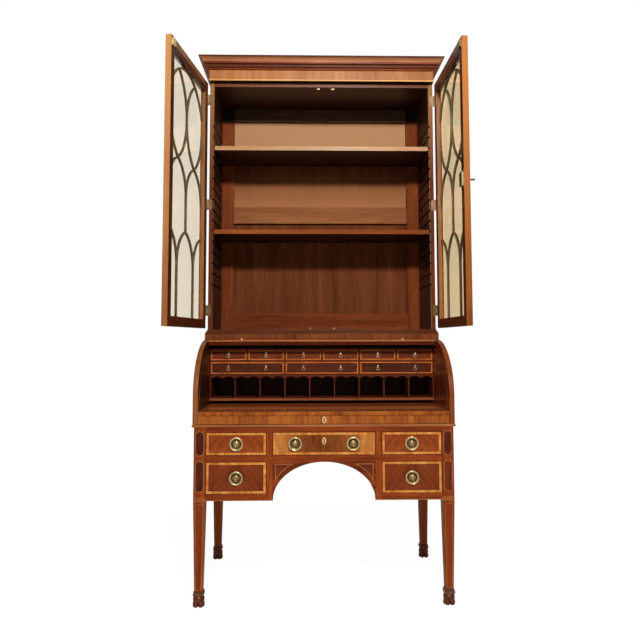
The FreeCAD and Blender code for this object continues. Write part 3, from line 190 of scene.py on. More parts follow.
timber_colour = blended(wood_figure, pore, blended(wood_figure, depth, given["Dark"], given["Light"]), deep)
wood_figure.links.new(timber_colour, results["Color"])
wood_figure.links.new(maths(wood_figure, "MULTIPLY_ADD", pore, 0.16,
                            maths(wood_figure, "MULTIPLY_ADD", depth, -0.1, 0.42)), results["Roughness"])
wood_figure.links.new(maths(wood_figure, "MULTIPLY_ADD", pore, -0.7,
                            maths(wood_figure, "MULTIPLY", depth, 0.3)), results["Height"])

# A ramp along one axis towards another colour. On the bookcase and the doors it paints light, sheen and shade into
# the wood.
tone_and_painted_light_ramp, given, results = node_group(
    "tone_and_painted_light_ramp", {"Color": "Color", "Place": "Float", "Start": "Float", "End": "Float", "Pale": "Color",
              "Most": "Float"}, {"Color": "Color"})
far = shader_node(tone_and_painted_light_ramp, "MapRange", {"Value": maths(tone_and_painted_light_ramp, "ABSOLUTE", given["Place"]),
                                      "From Min": given["Start"], "From Max": given["End"],
                                      "To Max": given["Most"]}).outputs[0]
tone_and_painted_light_ramp.links.new(blended(tone_and_painted_light_ramp, far, given["Color"], given["Pale"]), results["Color"])


def timber(name, dark, light, axis, along=4, across=70, tilt=0, figure=0.5, pores=0.3, uneven=0.25,
           polish=0.1, polish_blur=0.3, gloss=0.1, paler=None, fold=None):
    """Polished wood with its grain along an axis, turned by a tilt in the upright plane.

    Fold is how far from the middle, on either side, the figure is mirrored to the left and right.
    Paler is an axis, a place on it where the wood starts to be paler, on both sides of the middle,
    a place where it is palest, that colour, and how much of it.
    """
    material, tree, shader = new_material(name)
    where = own_place(tree)
    spot = where
    if fold:
        parts = shader_node(tree, "SeparateXYZ", {0: where}).outputs
        beside = maths(tree, "ABSOLUTE", maths(tree, "SUBTRACT", maths(tree, "ABSOLUTE", parts[0]), fold))
        spot = shader_node(tree, "CombineXYZ", {0: beside, 1: parts[1], 2: parts[2]}).outputs[0]
    stretch = [1 / across] * 3
    stretch[axis] = 1 / along
    laid = shader_node(tree, "Mapping", {"Vector": spot, "Rotation": (0, math.radians(tilt), 0),
                                         "Scale": stretch}, vector_type="TEXTURE").outputs[0]
    grain = shader_node(tree, "Group", {"Vector": laid, "Dark": tint(*dark), "Light": tint(*light),
                                        "Figure": figure, "Pores": pores, "Uneven": uneven},
                        node_tree=wood_figure).outputs
    bump = shader_node(tree, "Bump", {"Height": grain["Height"], "Strength": 0.25, "Distance": 0.4 * MM})
    colour = grain["Color"]
    if paler:
        way, start, end, pale, most = paler
        out = shader_node(tree, "SeparateXYZ", {0: where}).outputs[way]
        colour = shader_node(tree, "Group", {"Color": colour, "Place": out, "Start": start, "End": end,
                                             "Pale": tint(*pale), "Most": most}, node_tree=tone_and_painted_light_ramp).outputs[0]
    tree.links.new(colour, shader.inputs["Base Color"])
    tree.links.new(grain["Roughness"], shader.inputs["Roughness"])
    tree.links.new(bump.outputs["Normal"], shader.inputs["Normal"])
    shader.inputs["Specular IOR Level"].default_value = gloss
    shader.inputs["Coat Weight"].default_value = polish
    shader.inputs["Coat Roughness"].default_value = polish_blur
    shader.inputs["Coat IOR"].default_value = 1.4
    return material


def timbers(name, dark, light, **figure):
    """The same wood cut with its grain along X, along Y and along Z."""
    return [timber(f"{name} along {'XYZ'[axis]}", dark, light, axis, **figure) for axis in range(3)]


def merged(node):
    """A CAD node's solids as one mesh, its loose triangles merged into flat faces."""
    shape = bmesh.new()
    shape.from_mesh(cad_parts[node].data)
    bmesh.ops.remove_doubles(shape, verts=shape.verts, dist=0.01 * MM)
    bmesh.ops.dissolve_limit(shape, angle_limit=math.radians(0.5), verts=shape.verts, edges=shape.edges)
    bmesh.ops.split_edges(shape, edges=[edge for edge in shape.edges if len(edge.link_faces) > 2])
    return shape


def solids_in(shape):
    """The separate solids of a mesh, each a list of its faces."""
    left, found = set(shape.faces), []
    for first in shape.faces:
        if first not in left:
            continue
        left.discard(first)
        solid, reached = [], [first]
        while reached:
            face = reached.pop()
            solid.append(face)
            for edge in face.edges:
                if len(edge.link_faces) == 2:
                    for other in edge.link_faces:
                        if other in left:
                            left.discard(other)
                            reached.append(other)
        found.append(solid)
    return found


def reach(faces):
    """The lowest and the highest corner of some faces."""
    points = [corner.co for face in faces for corner in face.verts]
    return (Vector([min(point[axis] for point in points) for axis in range(3)]),
            Vector([max(point[axis] for point in points) for axis in range(3)]))


def only(shape, wanted):
    """Keeps the solids whose lowest and highest corners answer the question."""
    for solid in solids_in(shape):
        if not wanted(*reach(solid)):
            bmesh.ops.delete(shape, geom=solid, context="FACES")
    return shape


def grained(shape, axis_for=None):
    """Gives each board the grain of its longest side, or of the axis named for it, and its own tone."""
    tone = shape.faces.layers.float.new("board")
    for number, solid in enumerate(solids_in(shape)):
        low, high = reach(solid)
        size = high - low
        axis = axis_for(low, high) if axis_for else None
        if axis is None:
            axis = max(range(3), key=lambda side: size[side])
        for face in solid:
            face.material_index = axis
            face[tone] = number * 0.618 % 1
    return shape


def eased(shape, width, segments=2):
    """Takes the sharpness off every edge, as sandpaper does."""
    sharp = [edge for edge in shape.edges if len(edge.link_faces) == 2 and edge.is_convex
             and edge.calc_face_angle(0) > 0.6]
    bmesh.ops.bevel(shape, geom=sharp, offset=width * MM, offset_type="OFFSET", segments=segments,
                    profile=0.5, affect="EDGES", material=-1, clamp_overlap=True)
    return shape


def finished(name, shape, body, slot, materials, *replaced):
    """Makes a piece of a mesh, fixed to its body, in the place of the CAD nodes named last."""
    mesh = bpy.data.meshes.new(name)
    shape.to_mesh(mesh)
    shape.free()
    for material in materials:
        mesh.materials.append(material)
    mesh.shade_smooth()
    mesh.set_sharp_from_angle(angle=math.radians(32))
    piece = bpy.data.objects.new(name, mesh)
    bpy.context.collection.objects.link(piece)
    piece.modifiers.new("flat faces", "WEIGHTED_NORMAL").keep_sharp = True
    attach(piece, body)
    if replaced:
        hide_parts(*replaced)
    return piece


mahogany = timbers("mahogany", (98, 35, 10), (174, 81, 30), figure=0.7, pores=0.45)
for node in ("case_front_frame", "case_carcass", "desk_shell"):
    finished(f"{node}_boards", eased(grained(merged(node)), 0.6), "case", "mahogany", mahogany, node)

# Veneer on the case front: a light string along the bottom edge of the rails, and in the
# corners of the arched apron a dark triangle inside a string, all flush but for the glue line.
FACE = -305
SPANDREL = ((190, 530), (116, 530), (142, 516), (162, 500), (177, 482), (187, 462))
string_wood = timber("boxwood string", (150, 88, 42), (204, 136, 76), 0, along=30, across=120, figure=0.7,
                     pores=0.2)
corner_field = timber("apron corner field", (84, 34, 18), (126, 56, 28), 0, across=90)


def veneered(name, body, sheets, borders, materials, facing=(0, -1, 0), proud=0.2, slot="mahogany"):
    """Sheets of veneer: each outline gets its borders one inside the other, then its field.

    A border is its width, the material of its level runs and that of its upright runs.
    """
    shape = bmesh.new()
    for outline in sheets:
        field = shape.faces.new([shape.verts.new(Vector(corner) * MM) for corner in outline])
        field.normal_update()
        for width, level, upright in borders[:-1]:
            for strip in bmesh.ops.inset_region(shape, faces=[field], thickness=width * MM,
                                                use_boundary=True, use_even_offset=True)["faces"]:
                low, high = reach([strip])
                across = max(high.x - low.x, high.y - low.y)
                strip.material_index = level if across > high.z - low.z else upright
        field.material_index = borders[-1]
    lifted = bmesh.ops.extrude_face_region(shape, geom=list(shape.faces))
    corners = [part for part in lifted["geom"] if isinstance(part, bmesh.types.BMVert)]
    bmesh.ops.translate(shape, verts=shape.verts, vec=Vector(facing) * -0.3 * MM)
    bmesh.ops.translate(shape, verts=corners, vec=Vector(facing) * (0.3 + proud) * MM)
    bmesh.ops.recalc_face_normals(shape, faces=shape.faces)
    return finished(name, shape, body, slot, materials)


def upright(x, z, y=FACE):
    """A rectangle on an upright face across the front, from its stretches of X and Z."""
    return [(x[0], y, z[0]), (x[1], y, z[0]), (x[1], y, z[1]), (x[0], y, z[1])]


veneered("rail_strings", "case", [upright((side * 199, side * 453.5), (392.6, 395.4)) for side in (-1, 1)],
         [0], [string_wood])
finished("kneehole_apron_board", eased(grained(merged("kneehole_apron"), lambda low, high: 0), 0.6), "case",
         "mahogany", mahogany, "kneehole_apron")
veneered("apron_corners", "case", [[(side * x, FACE, z) for x, z in SPANDREL] for side in (-1, 1)],
         [(2.8, 0, 0), 1], [string_wood, corner_field])

# Legs: square mahogany posts, each with a block beside the drawers and a tapered shaft.
# A dark panel in a light string is let into the block, a band goes round below it, and
# strings run down the shaft to the foot.
CORNERS = [(side * 477, end * 282) for side in (-1, 1) for end in (-1, 1)]
BLOCK_FOOT, SHAFT_FOOT = 392, 57
CUFF = [(-22.6, 389), (22.6, 389), (22.6, 404), (-22.6, 404)]
red_field = timber("red mahogany shaft", (110, 42, 8), (168, 80, 22), 2)
dark_fields = {(side, level): timber(f"dark panel {level} {'left' if side < 0 else 'right'}", dark, light, 2,
                                     along=9, figure=0.8)
               for side, level, dark, light in ((-1, "upper", (64, 23, 14), (104, 44, 26)),
                                                (-1, "lower", (66, 24, 14), (108, 46, 26)),
                                                (1, "upper", (76, 27, 15), (118, 50, 29)),
                                                (1, "lower", (92, 34, 17), (138, 62, 32)))}
cuff_wood = timber("cuff band", (120, 56, 22), (186, 110, 52), 2, along=40)
dark_line = timber("dark line", (36, 14, 6), (62, 26, 12), 0)


def half_leg(z):
    """Half the width of a leg at a height: square in its block, tapered below it."""
    return 23 if z > BLOCK_FOOT else 16 + 7 * (z - SHAFT_FOOT) / (BLOCK_FOOT - SHAFT_FOOT)


def on_leg(outline, centre, facing):
    """An outline on the face of a leg, its points given beside the middle of that face."""
    out, beside = Vector((*facing, 0)), Vector((-facing[1], facing[0], 0))
    return [Vector((*centre, z)) + out * half_leg(z) + beside * across for across, z in outline]


def oval(wide, high, turns, up=0):
    """The points of an oval at some turns, from its half sizes and the height of its middle."""
    return [(wide * math.cos(math.radians(turn)), up + high * math.sin(math.radians(turn))) for turn in turns]


def panel(low, high, rise, turns):
    """An upright panel 34 mm wide with ends that rise, as pairs of its place across and its height."""
    end = oval(17, rise, turns)
    return [(-x, low + rise - z) for x, z in end] + [(x, high - rise + z) for x, z in end]


panels = {"upper": panel(560, 655, 18, (0, 32, 66, 90, 114, 148, 180)),
          "lower": panel(424, 542, 13, range(0, 181, 15))}
shaft = [(-10.8, 60), (10.8, 60), (15.6, 372)] + oval(15.6, 9, range(20, 180, 20), 372) + [(-15.6, 372)]
finished("legs_posts", eased(grained(merged("legs"), lambda low, high: 2), 1.0), "case", "mahogany", mahogany,
         "legs")
for number, (x, y) in enumerate(CORNERS, 1):
    side = math.copysign(1, x)
    for label, facing in (("front", (0, -1)), ("back", (0, 1)), ("outer", (side, 0)), ("inner", (-side, 0))):
        toward = (*facing, 0)
        if label == "front" and y < 0:
            for level, outline in panels.items():
                veneered(f"leg_{number}_{level}_panel", "case", [on_leg(outline, (x, y), facing)],
                         [(2.4, 0, 0), (0.8, 1, 1), 2], [string_wood, dark_line, dark_fields[side, level]], toward)
        if label in ("front", "outer"):
            veneered(f"leg_{number}_{label}_strings", "case", [on_leg(shaft, (x, y), facing)],
                     [(1.8, 0, 0), 1], [string_wood, red_field], toward)
        veneered(f"leg_{number}_{label}_cuff", "case", [on_leg(CUFF, (x, y), facing)],
                 [(1.4, 0, 0), 1], [string_wood, cuff_wood], toward)

# Paw feet: cast bronze, rubbed brown, of two big toes in front and a smaller one on either
# side under a rounded paw, with a band and a cap where the leg stands in them.
patches, given, results = node_group(
    "patches", {"Vector": "Vector", "Scale": "Float", "Detail": "Float", "Raggedness": "Float",
                "Start": "Float", "End": "Float", "Dull": "Color", "Bright": "Color", "Roughness": "Float",
                "Rubbing": "Float"}, {"Color": "Color", "Roughness": "Float"})
patch = shader_node(patches, "TexNoise", {"Vector": given["Vector"], "Scale": given["Scale"],
                                          "Detail": given["Detail"], "Roughness": given["Raggedness"]})
patch = shader_node(patches, "MapRange", {"Value": patch.outputs[0], "From Min": given["Start"],
                                          "From Max": given["End"]}).outputs[0]
patches.links.new(blended(patches, patch, given["Dull"], given["Bright"]), results["Color"])
patches.links.new(maths(patches, "MULTIPLY_ADD", patch, given["Rubbing"], given["Roughness"]),
                  results["Roughness"])


def patchy(name, dull, bright, scale, detail, rough, ragged=0.5, start=0, end=1, rubbing=0, metallic=0):
    """A material dull in patches and bright in others, where rubbing changes how rough it is."""
    material, tree, shader = new_material(name)
    mixed = shader_node(tree, "Group", {"Vector": own_place(tree), "Scale": scale, "Detail": detail,
                                        "Raggedness": ragged, "Start": start, "End": end,
                                        "Dull": tint(*dull), "Bright": tint(*bright), "Roughness": rough,
                                        "Rubbing": rubbing}, node_tree=patches).outputs
    tree.links.new(mixed["Color"], shader.inputs["Base Color"])
    if rubbing:
        tree.links.new(mixed["Roughness"], shader.inputs["Roughness"])
    else:
        shader.inputs["Roughness"].default_value = rough
    shader.inputs["Metallic"].default_value = metallic
    return material


def lump(shape, centre, half):
    """Adds an egg-shaped lump of the half sizes given."""
    bmesh.ops.create_icosphere(shape, subdivisions=4, radius=MM, matrix=Matrix.Translation(Vector(centre) * MM)
                               @ Matrix.Diagonal((*half, 1)))


bronze = patchy("brown bronze", (60, 23, 8), (132, 58, 22), 130, 5, 0.55, 0.65, 0.35, 0.68, -0.2, 0.35)
paws = bmesh.new()
for x, y in CORNERS:
    lump(paws, (x, y, 25), (22, 24, 22))
    lump(paws, (x, y + 2, 34), (17, 17, 14))
    for way in (-1, 1):
        lump(paws, (x + way * 9.2, y - 12, 6), (8.6, 12.4, 17))
        lump(paws, (x + way * 9.2, y - 20.5, 3.5), (6.5, 4.2, 8.5))
        lump(paws, (x + way * 17.2, y - 1, 5), (5.6, 12.5, 15))
mesh = bpy.data.meshes.new("paws")
paws.to_mesh(mesh)
paws.free()
rough_casting = bpy.data.objects.new("paws", mesh)
bpy.context.collection.objects.link(rough_casting)
remesh = rough_casting.modifiers.new("remesh", "REMESH")
remesh.mode = "VOXEL"
remesh.voxel_size = 0.0011
smooth = rough_casting.modifiers.new("smooth", "SMOOTH")
smooth.iterations = 4
cast = bpy.data.meshes.new_from_object(rough_casting.evaluated_get(bpy.context.evaluated_depsgraph_get()))
bpy.data.objects.remove(rough_casting)
paws = bmesh.new()
paws.from_mesh(cast)
bmesh.ops.bisect_plane(paws, geom=list(paws.verts) + list(paws.edges) + list(paws.faces),
                       plane_co=(0, 0, 0), plane_no=(0, 0, -1), clear_outer=True)
bmesh.ops.holes_fill(paws, edges=[edge for edge in paws.edges if edge.is_boundary])
finished("paw_feet_castings", paws, "case", "brass", [bronze], "paw_feet")
gilt_band = timber("rubbed gilt band", (84, 62, 40), (140, 114, 78), 2, along=60, across=60, pores=0.6)
collars = bmesh.new()
for x, y in CORNERS:
    for half, low, high, metal in ((20.5, 40, 49.6, 1), (18.5, 49.6, 57, 0), (16.4, 36.5, 40.5, 0)):
        middle = Matrix.Translation((x * MM, y * MM, (low + high) / 2 * MM))
        size = Matrix.Diagonal((2 * half * MM, 2 * half * MM, (high - low) * MM, 1))
        made = bmesh.ops.create_cube(collars, size=1, matrix=middle @ size)["verts"]
        for face in {face for corner in made for face in corner.link_faces}:
            face.material_index = metal
finished("foot_collars", eased(collars, 1.6, 3), "case", "brass", [bronze, gilt_band])

# Table top: one mahogany board with a half-round bead of lighter wood glued along its
# front edge and its ends.
BEAD = len(mahogany)
light_bead = timbers("bead", (140, 78, 40), (205, 134, 80))
top = grained(merged("table_top"))
for solid in solids_in(top):
    low, high = reach(solid)
    if min(high - low) < 8 * MM or min(high.x - low.x, high.y - low.y) < 20 * MM:
        for face in solid:
            face.material_index += BEAD
finished("table_top_boards", eased(top, 0.4), "case", "mahogany", mahogany + light_bead, "table_top")

# Drawers: oak sides, back and bottom behind a mahogany front. The front is crossbanded in
# satinwood round a field of figured mahogany, with a fine dark line between the two and a
# dark border round the outside, painted shadow of the gap round the drawer.
OAK = len(mahogany)
RELIEF = [(11.8, 0), (12.2, 1.4), (13.0, 1.6), (13.6, 1.0), (13.9, 0.1), (19.2, 0.1), (19.8, 0.7),
          (21.6, 0.9), (23.2, 0.7), (23.9, 0.1), (23.9, -1), (11.8, -1), (11.8, 0)]
BUTTON = [(0.001, 7.6), (2.4, 7.4), (3.9, 6.6), (4.3, 5.4), (5.6, 5.2), (6.6, 5.7), (7.6, 5.3), (8.0, 3.6)]
HOLLOW, RIM = (12.8, 19.6), 19
oak = timbers("oak lining", (140, 100, 58), (196, 152, 100), across=110)
satin = [timber(f"satinwood band {way}", (182, 100, 38), (240, 168, 86), axis, along=12, across=90,
                figure=0.9, pores=0.2) for way, axis in (("over and under", 2), ("at the ends", 0))]
flames = {level: timber(f"flame mahogany {level}", dark, light, 2, along=9, across=46, tilt=-38, figure=0.9,
                        fold=0.3375)
          for level, dark, light in (("upper", (114, 46, 15), (178, 86, 34)),
                                     ("lower", (90, 34, 11), (148, 67, 26)))}
curl = timber("curled mahogany", (92, 40, 13), (152, 82, 32), 2, along=10, across=50, figure=0.7,
              paler=(0, 0.05, 0.15, (190, 112, 48), 0.75))
satin_panel = timber("satinwood panel", (176, 104, 44), (226, 160, 84), 2, along=7, across=50, figure=0.8)


def drawer_boards(node, face, front_thick):
    """The boards of a drawer, its front of mahogany and the rest of oak; the brasses stay out."""
    boards = only(merged(node), lambda low, high: low.y > (face - 0.3) * MM)
    grained(boards)
    for solid in solids_in(boards):
        if reach(solid)[1].y > (face + front_thick + 1) * MM:
            for part in solid:
                part.material_index += OAK
    return finished(f"{node}_boards", eased(boards, 0.35), node, "mahogany", mahogany + oak, node)


def brass(name, dull, bright, metallic=0.85, rough=0.42):
    """Brass with tarnish in patches: darker and duller where it is never touched."""
    return patchy(name, dull, bright, 95, 6, rough, 0.7, 0.3, 0.66, -0.14, metallic)


def turned(shape, profile, centre):
    """Adds a shape turned on a lathe that points to the front, its profile as radius and height."""
    points = [shape.verts.new(((centre[0] + radius) * MM, (centre[1] - high) * MM, centre[2] * MM))
              for radius, high in profile]
    edges = [shape.edges.new(pair) for pair in zip(points, points[1:])]
    bmesh.ops.spin(shape, geom=points + edges, cent=Vector(centre) * MM, axis=(0, -1, 0), angle=2 * math.pi,
                   steps=64, use_merge=True)


def coated(node, material):
    """Gives a CAD node that stays as it is its material."""
    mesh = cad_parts[node].data
    mesh.materials.clear()
    mesh.materials.append(material)
    return mesh


rubbed_brass = brass("rubbed brass", (178, 150, 98), (234, 212, 160), 0.7)
aged_brass = brass("aged brass", (134, 106, 60), (192, 164, 110), 0.75)
dark_brass = brass("tarnished brass", (52, 34, 12), (84, 60, 26), 0.5, 0.6)
for node in ("upper_left_drawer", "lower_left_drawer", "upper_right_drawer", "lower_right_drawer",
             "centre_drawer"):
    drawer_boards(node, FACE, 20)
    low, high = (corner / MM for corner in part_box(node))
    middle = (low.z + high.z) / 2
    central = node == "centre_drawer"
    spots = [-112, 112] if central else [(low.x + high.x) / 2]
    line_width, field = (0.8, curl) if central else (1.0, flames[node.split("_")[0]])
    # The outermost dark border, 1.8 mm wide, is painted shadow of the gap round the drawer.
    veneered(f"{node}_front", node, [upright((low.x + 0.4, high.x - 0.4), (low.z + 0.4, high.z - 0.4))],
             [(1.8, 2, 2), (9.2, 0, 1), (line_width, 2, 2), 3], satin + [dark_line, field])
    if central:
        veneered(f"{node}_ends", node,
                 [upright(sorted((side * 140, side * 187)), (low.z + 11, high.z - 11)) for side in (-1, 1)],
                 [0], [satin_panel], proud=0.25)
    pulls = only(merged(node), lambda low, high: low.y < (FACE - 2) * MM)
    for spot in spots:
        turned(pulls, RELIEF, (spot, FACE - 2.2, middle))
        turned(pulls, BUTTON, (spot, FACE - 2.2, middle))
    bmesh.ops.recalc_face_normals(pulls, faces=pulls.faces)
    eased(pulls, 0.25)
    for face in pulls.faces:
        across, away, up = face.calc_center_median() / MM
        out = min(math.hypot(across - spot, up - middle) for spot in spots)
        if HOLLOW[0] < out < HOLLOW[1] and abs(face.normal.y) > 0.3 and away > FACE - 3.6:
            face.material_index = 1
        elif out > RIM:
            face.material_index = 2
    finished(f"{node}_backplate", pulls, node, "brass", [aged_brass, dark_brass, rubbed_brass])
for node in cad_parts:
    if "_ring" in node or "_drop" in node:
        coated(node, rubbed_brass).shade_smooth()

# Escutcheons: thin lozenges of bone let into the centre drawer and the writing slide,
# each with a rounded edge and a keyhole, a dark sheet of painted shade.
LOZENGE = [(0, -15), (3.4, -11.6), (6.4, -7.4), (8.1, -3), (8.1, 3), (6.4, 7.4), (3.4, 11.6), (0, 15)]
LOZENGE += [(-x, z) for x, z in reversed(LOZENGE[1:-1])]
KEYHOLE = oval(3, 3, range(-50, 231, 28), 5) + [(-2.4, -8.5), (2.4, -8.5)]
bone = patchy("bone", (214, 170, 118), (240, 206, 160), 260, 4, 0.4)
worn_bone = patchy("worn bone", (196, 150, 96), (226, 186, 136), 260, 4, 0.4)
keyhole_shade = patchy("painted shade in a keyhole", (18, 10, 6), (40, 24, 14), 900, 2, 0.9)
for node, body, high in (("centre_drawer", "centre_drawer", 616.5), ("writing_slide", "slide", 696.75)):
    veneered(f"{node}_lozenge", body, [[(x, FACE, high + z) for x, z in LOZENGE]], [(1.3, 0, 0), 1],
             [worn_bone, bone], proud=1.1)
    veneered(f"{node}_keyhole", body, [[(x, FACE - 0.9, high + z) for x, z in KEYHOLE]], [0],
             [keyhole_shade], proud=0.25)

# Writing slide: a polished mahogany board with a nosed front edge, over a front rail that
# is crossbanded in lighter wood, between two side rails that it slides on.
CROSSBAND, BED = 3, 4
FRONT_RAIL_BACK, BED_TOP, LONG = -280, 728, 0.5
lip_wood = timber("slide crossband", (118, 54, 18), (176, 100, 40), 2, along=8, across=90, figure=1.0)
writing_bed = timber("writing surface", (134, 63, 30), (200, 111, 60), 0, polish=1.0, polish_blur=0.08)


def is_lozenge(low, high):
    """Whether a solid is the small thin plate on the front, from its lowest and highest corners."""
    return (high.x - low.x < 20 * MM and high.y - low.y < 2 * MM
            and low.y < (FACE - 0.5) * MM and high.y < FACE * MM + 1e-5)


slide = grained(only(merged("writing_slide"), lambda low, high: not is_lozenge(low, high)))
for solid in solids_in(slide):
    low, high = reach(solid)
    for face in solid:
        ahead = face.calc_center_median().y < FRONT_RAIL_BACK * MM and face.normal.y < -0.3
        if ahead and high.x - low.x > LONG:
            face.material_index = CROSSBAND
        elif face.normal.z > 0.9 and high.z > BED_TOP * MM:
            face.material_index = BED
finished("writing_slide_boards", eased(slide, 1.2), "slide", "mahogany", mahogany + [lip_wood, writing_bed],
         "writing_slide")

# Gables: each a curved mahogany end, its edge covered with a lighter strip and a groove
# cut inside for the tambour to run in.
ARC_CENTRE, ARC_HALF, INNER_FACE = (0.009, 0.787), (0.314, 0.218), 0.4938
EDGE, INSIDE = 3, 5
gable_edges = [timber("left gable edge", (112, 60, 28), (168, 106, 60), 2, along=6),
               timber("right gable edge", (112, 54, 22), (166, 92, 42), 2, along=6)]
# The insides are shaded and lit copies of one wood: darker on the left, painted shade, lighter on the right,
# painted light.
gable_insides = [timber("left gable inside", (36, 17, 10), (66, 32, 20), 2),
                 timber("right gable inside", (98, 43, 26), (152, 74, 47), 2, polish=0.5, polish_blur=0.15)]
gables = grained(merged("gables"), lambda low, high: 2)
for face in gables.faces:
    middle = face.calc_center_median()
    side = 0 if middle.x < 0 else 1
    back, up = ((at - centre) / half for at, centre, half in zip((middle.y, middle.z), ARC_CENTRE, ARC_HALF))
    if abs(face.normal.x) < 0.3 and (back ** 2 + up ** 2 > 0.97 or up < 0) and middle.y < 0.01:
        face.material_index = EDGE + side
    elif face.normal.x * middle.x < 0 and abs(face.normal.x) > 0.3 or abs(middle.x) < INNER_FACE:
        face.material_index = INSIDE + side
finished("gables_boards", eased(gables, 0.5), "case", "mahogany", mahogany + gable_edges + gable_insides,
         "gables")

# Tambour: mahogany slats side by side, glued on a linen canvas, with a lip bar in front
# that carries two turned bone knobs.
CANVAS, LIP_LIT_TOP = 1.2, 3.4
linen, tree, shader = new_material("linen canvas")
where = own_place(tree)
warp = shader_node(tree, "TexWave", {"Vector": where, "Scale": 320}, bands_direction="X").outputs[0]
weft = shader_node(tree, "TexWave", {"Vector": where, "Scale": 320}, bands_direction="Z").outputs[0]
threads = blended(tree, maths(tree, "MULTIPLY", warp, weft), tint(120, 98, 70), tint(190, 170, 136))
tree.links.new(threads, shader.inputs["Base Color"])
shader.inputs["Roughness"].default_value = 0.9


def thickness(solid):
    """How thick a board is: what its widest face has to be moved by to fill its space."""
    widest = max(solid, key=lambda face: face.calc_area())
    along = [corner.co.dot(widest.normal) for face in solid for corner in face.verts]
    return max(along) - min(along)


def cut(shape, faces, place, facing=(0, 0, 1)):
    """Cuts some faces in two along a plane, so that each part can have its own wood."""
    parts = dict.fromkeys(part for face in faces for part in (*face.verts, *face.edges, face))
    bmesh.ops.bisect_plane(shape, geom=list(parts), plane_co=place, plane_no=facing)


slats = grained(merged("tambour_slats"), lambda low, high: 0)
for solid in solids_in(slats):
    if thickness(solid) < CANVAS * MM:
        for face in solid:
            face.material_index = 3
finished("tambour_boards", eased(slats, 1.2), "tambour", "mahogany", mahogany + [linen], "tambour_slats")
# The lip bar's top strip is a pale wood: painted highlight where the light catches its top.
lip_top_highlight = timber("painted highlight on the lip's top", (166, 94, 50), (214, 138, 82), 0)
lip_dark = timbers("lip mahogany", (62, 24, 9), (104, 44, 19), gloss=0.03, polish=0)
lip = grained(only(merged("tambour_lip"), lambda low, high: high.x - low.x > LONG), lambda low, high: 0)
upward = max(lip.faces, key=lambda face: face.normal.z).normal.copy()
crest = max(corner.co.dot(upward) for corner in lip.verts)
cut(lip, lip.faces, upward * (crest - LIP_LIT_TOP * MM), upward)
for face in lip.faces:
    if face.calc_center_median().dot(upward) > crest - (LIP_LIT_TOP - 0.1) * MM:
        face.material_index = 3
finished("tambour_lip_bar", eased(lip, 1.0), "tambour", "mahogany", lip_dark + [lip_top_highlight], "tambour_lip")
knobs = only(merged("tambour_lip"), lambda low, high: high.x - low.x < LONG)
finished("tambour_knobs", knobs, "tambour", "mahogany", [bone])

# Pigeonhole unit: thin mahogany boards in three tiers, nine pigeonholes under scalloped
# valances, three wide drawers and six small ones with banded fronts and drop pulls.
UNIT_FACE, BASE_TOP = 18, 752.6
MATT = {"gloss": 0, "polish": 0}
unit_wood = timbers("pigeonhole mahogany", (66, 27, 12), (118, 54, 26))
# The base board's front edge is a lighter wood: painted highlight.
base_edge_highlight = timber("painted highlight on the base board edge", (116, 62, 38), (162, 96, 60), 0, **MATT)
unit = grained(merged("pigeonhole_unit"))
for face in unit.faces:
    middle = face.calc_center_median()
    if face.normal.y < -0.9 and middle.y < (UNIT_FACE + 0.1) * MM and middle.z < BASE_TOP * MM:
        face.material_index = 3
finished("pigeonhole_boards", eased(unit, 0.35), "case", "mahogany", unit_wood + [base_edge_highlight],
         "pigeonhole_unit")
small_band = [timber(f"small band {way}", (172, 86, 34), (236, 144, 72), axis, along=10, across=110,
                     figure=0.8, pores=0.2) for way, axis in (("over and under", 2), ("at the ends", 0))]
small_field = {size: timber(f"{size} drawer field", dark, light, 0, along=10, figure=0.6)
               for size, dark, light in (("small", (84, 32, 16), (136, 64, 32)),
                                         ("wide", (62, 24, 12), (106, 50, 26)))}
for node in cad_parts:
    if node.startswith(("small_drawer", "wide_drawer")) and "drop" not in node:
        drawer_boards(node, UNIT_FACE, 8)
        low, high = (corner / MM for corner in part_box(node))
        veneered(f"{node}_front", node,
                 [upright((low.x + 0.3, high.x - 0.3), (low.z + 0.3, high.z - 0.3), UNIT_FACE)],
                 [(4.4, 0, 1), (0.8, 2, 2), 3], small_band + [dark_line, small_field[node.split("_")[0]]])
        posts = only(merged(node), lambda low, high: low.y < (UNIT_FACE - 2) * MM)
        finished(f"{node}_posts", posts, node, "brass", [rubbed_brass])

# Bookcase: sides grooved for the shelves, with painted highlights on their inner corners, a framed
# back of two panels with painted light, sheen and shade on it, a floor, a top and two loose shelves,
# all in plainer mahogany with straight grain, painted darker inside as shade.
SIDE_INNER, SIDE_OUTER, BACK_FRAME, BACK_PANELS, SHELF = 473.5, 492.5, 280, 298, 1851
BACK, PANEL, FRONT, GROOVE, OUTSIDE = 3, 6, 7, 8, 9
RAIL, TOP_RAIL, UNDER_SHELF, OVER_SHELF, LIT = range(12, 17)
BACK_CUT = {"along": 6, "across": 120, "figure": 0.5, "pores": 0.5, **MATT}
PANEL_TONES = (76, 38, 21), (124, 70, 42)
# Inside the bookcase the mahogany is a much darker copy than outside: painted shade.
inner_wood = timbers("bookcase mahogany", (38, 20, 12), (74, 41, 25), along=3, across=100, figure=0.4)
# The stiles turn dark above the line where the ceiling's shadow falls: painted shadow.
back_wood = timbers("bookcase back", (94, 43, 22), (148, 78, 44), paler=(2, 2.04, 2.06, (46, 30, 22), 1),
                    **BACK_CUT)
# The middle rail is a paler copy of the stiles' wood: painted sheen where the lamp's light falls on it.
back_rail = timber("back middle rail", (114, 68, 42), (168, 110, 70), 0, **BACK_CUT)
top_rail = timber("back top rail", (74, 52, 40), (112, 82, 64), 0, along=6, across=120, **MATT)
panel_wood = timber("bookcase back panel", *PANEL_TONES, 2, **BACK_CUT)
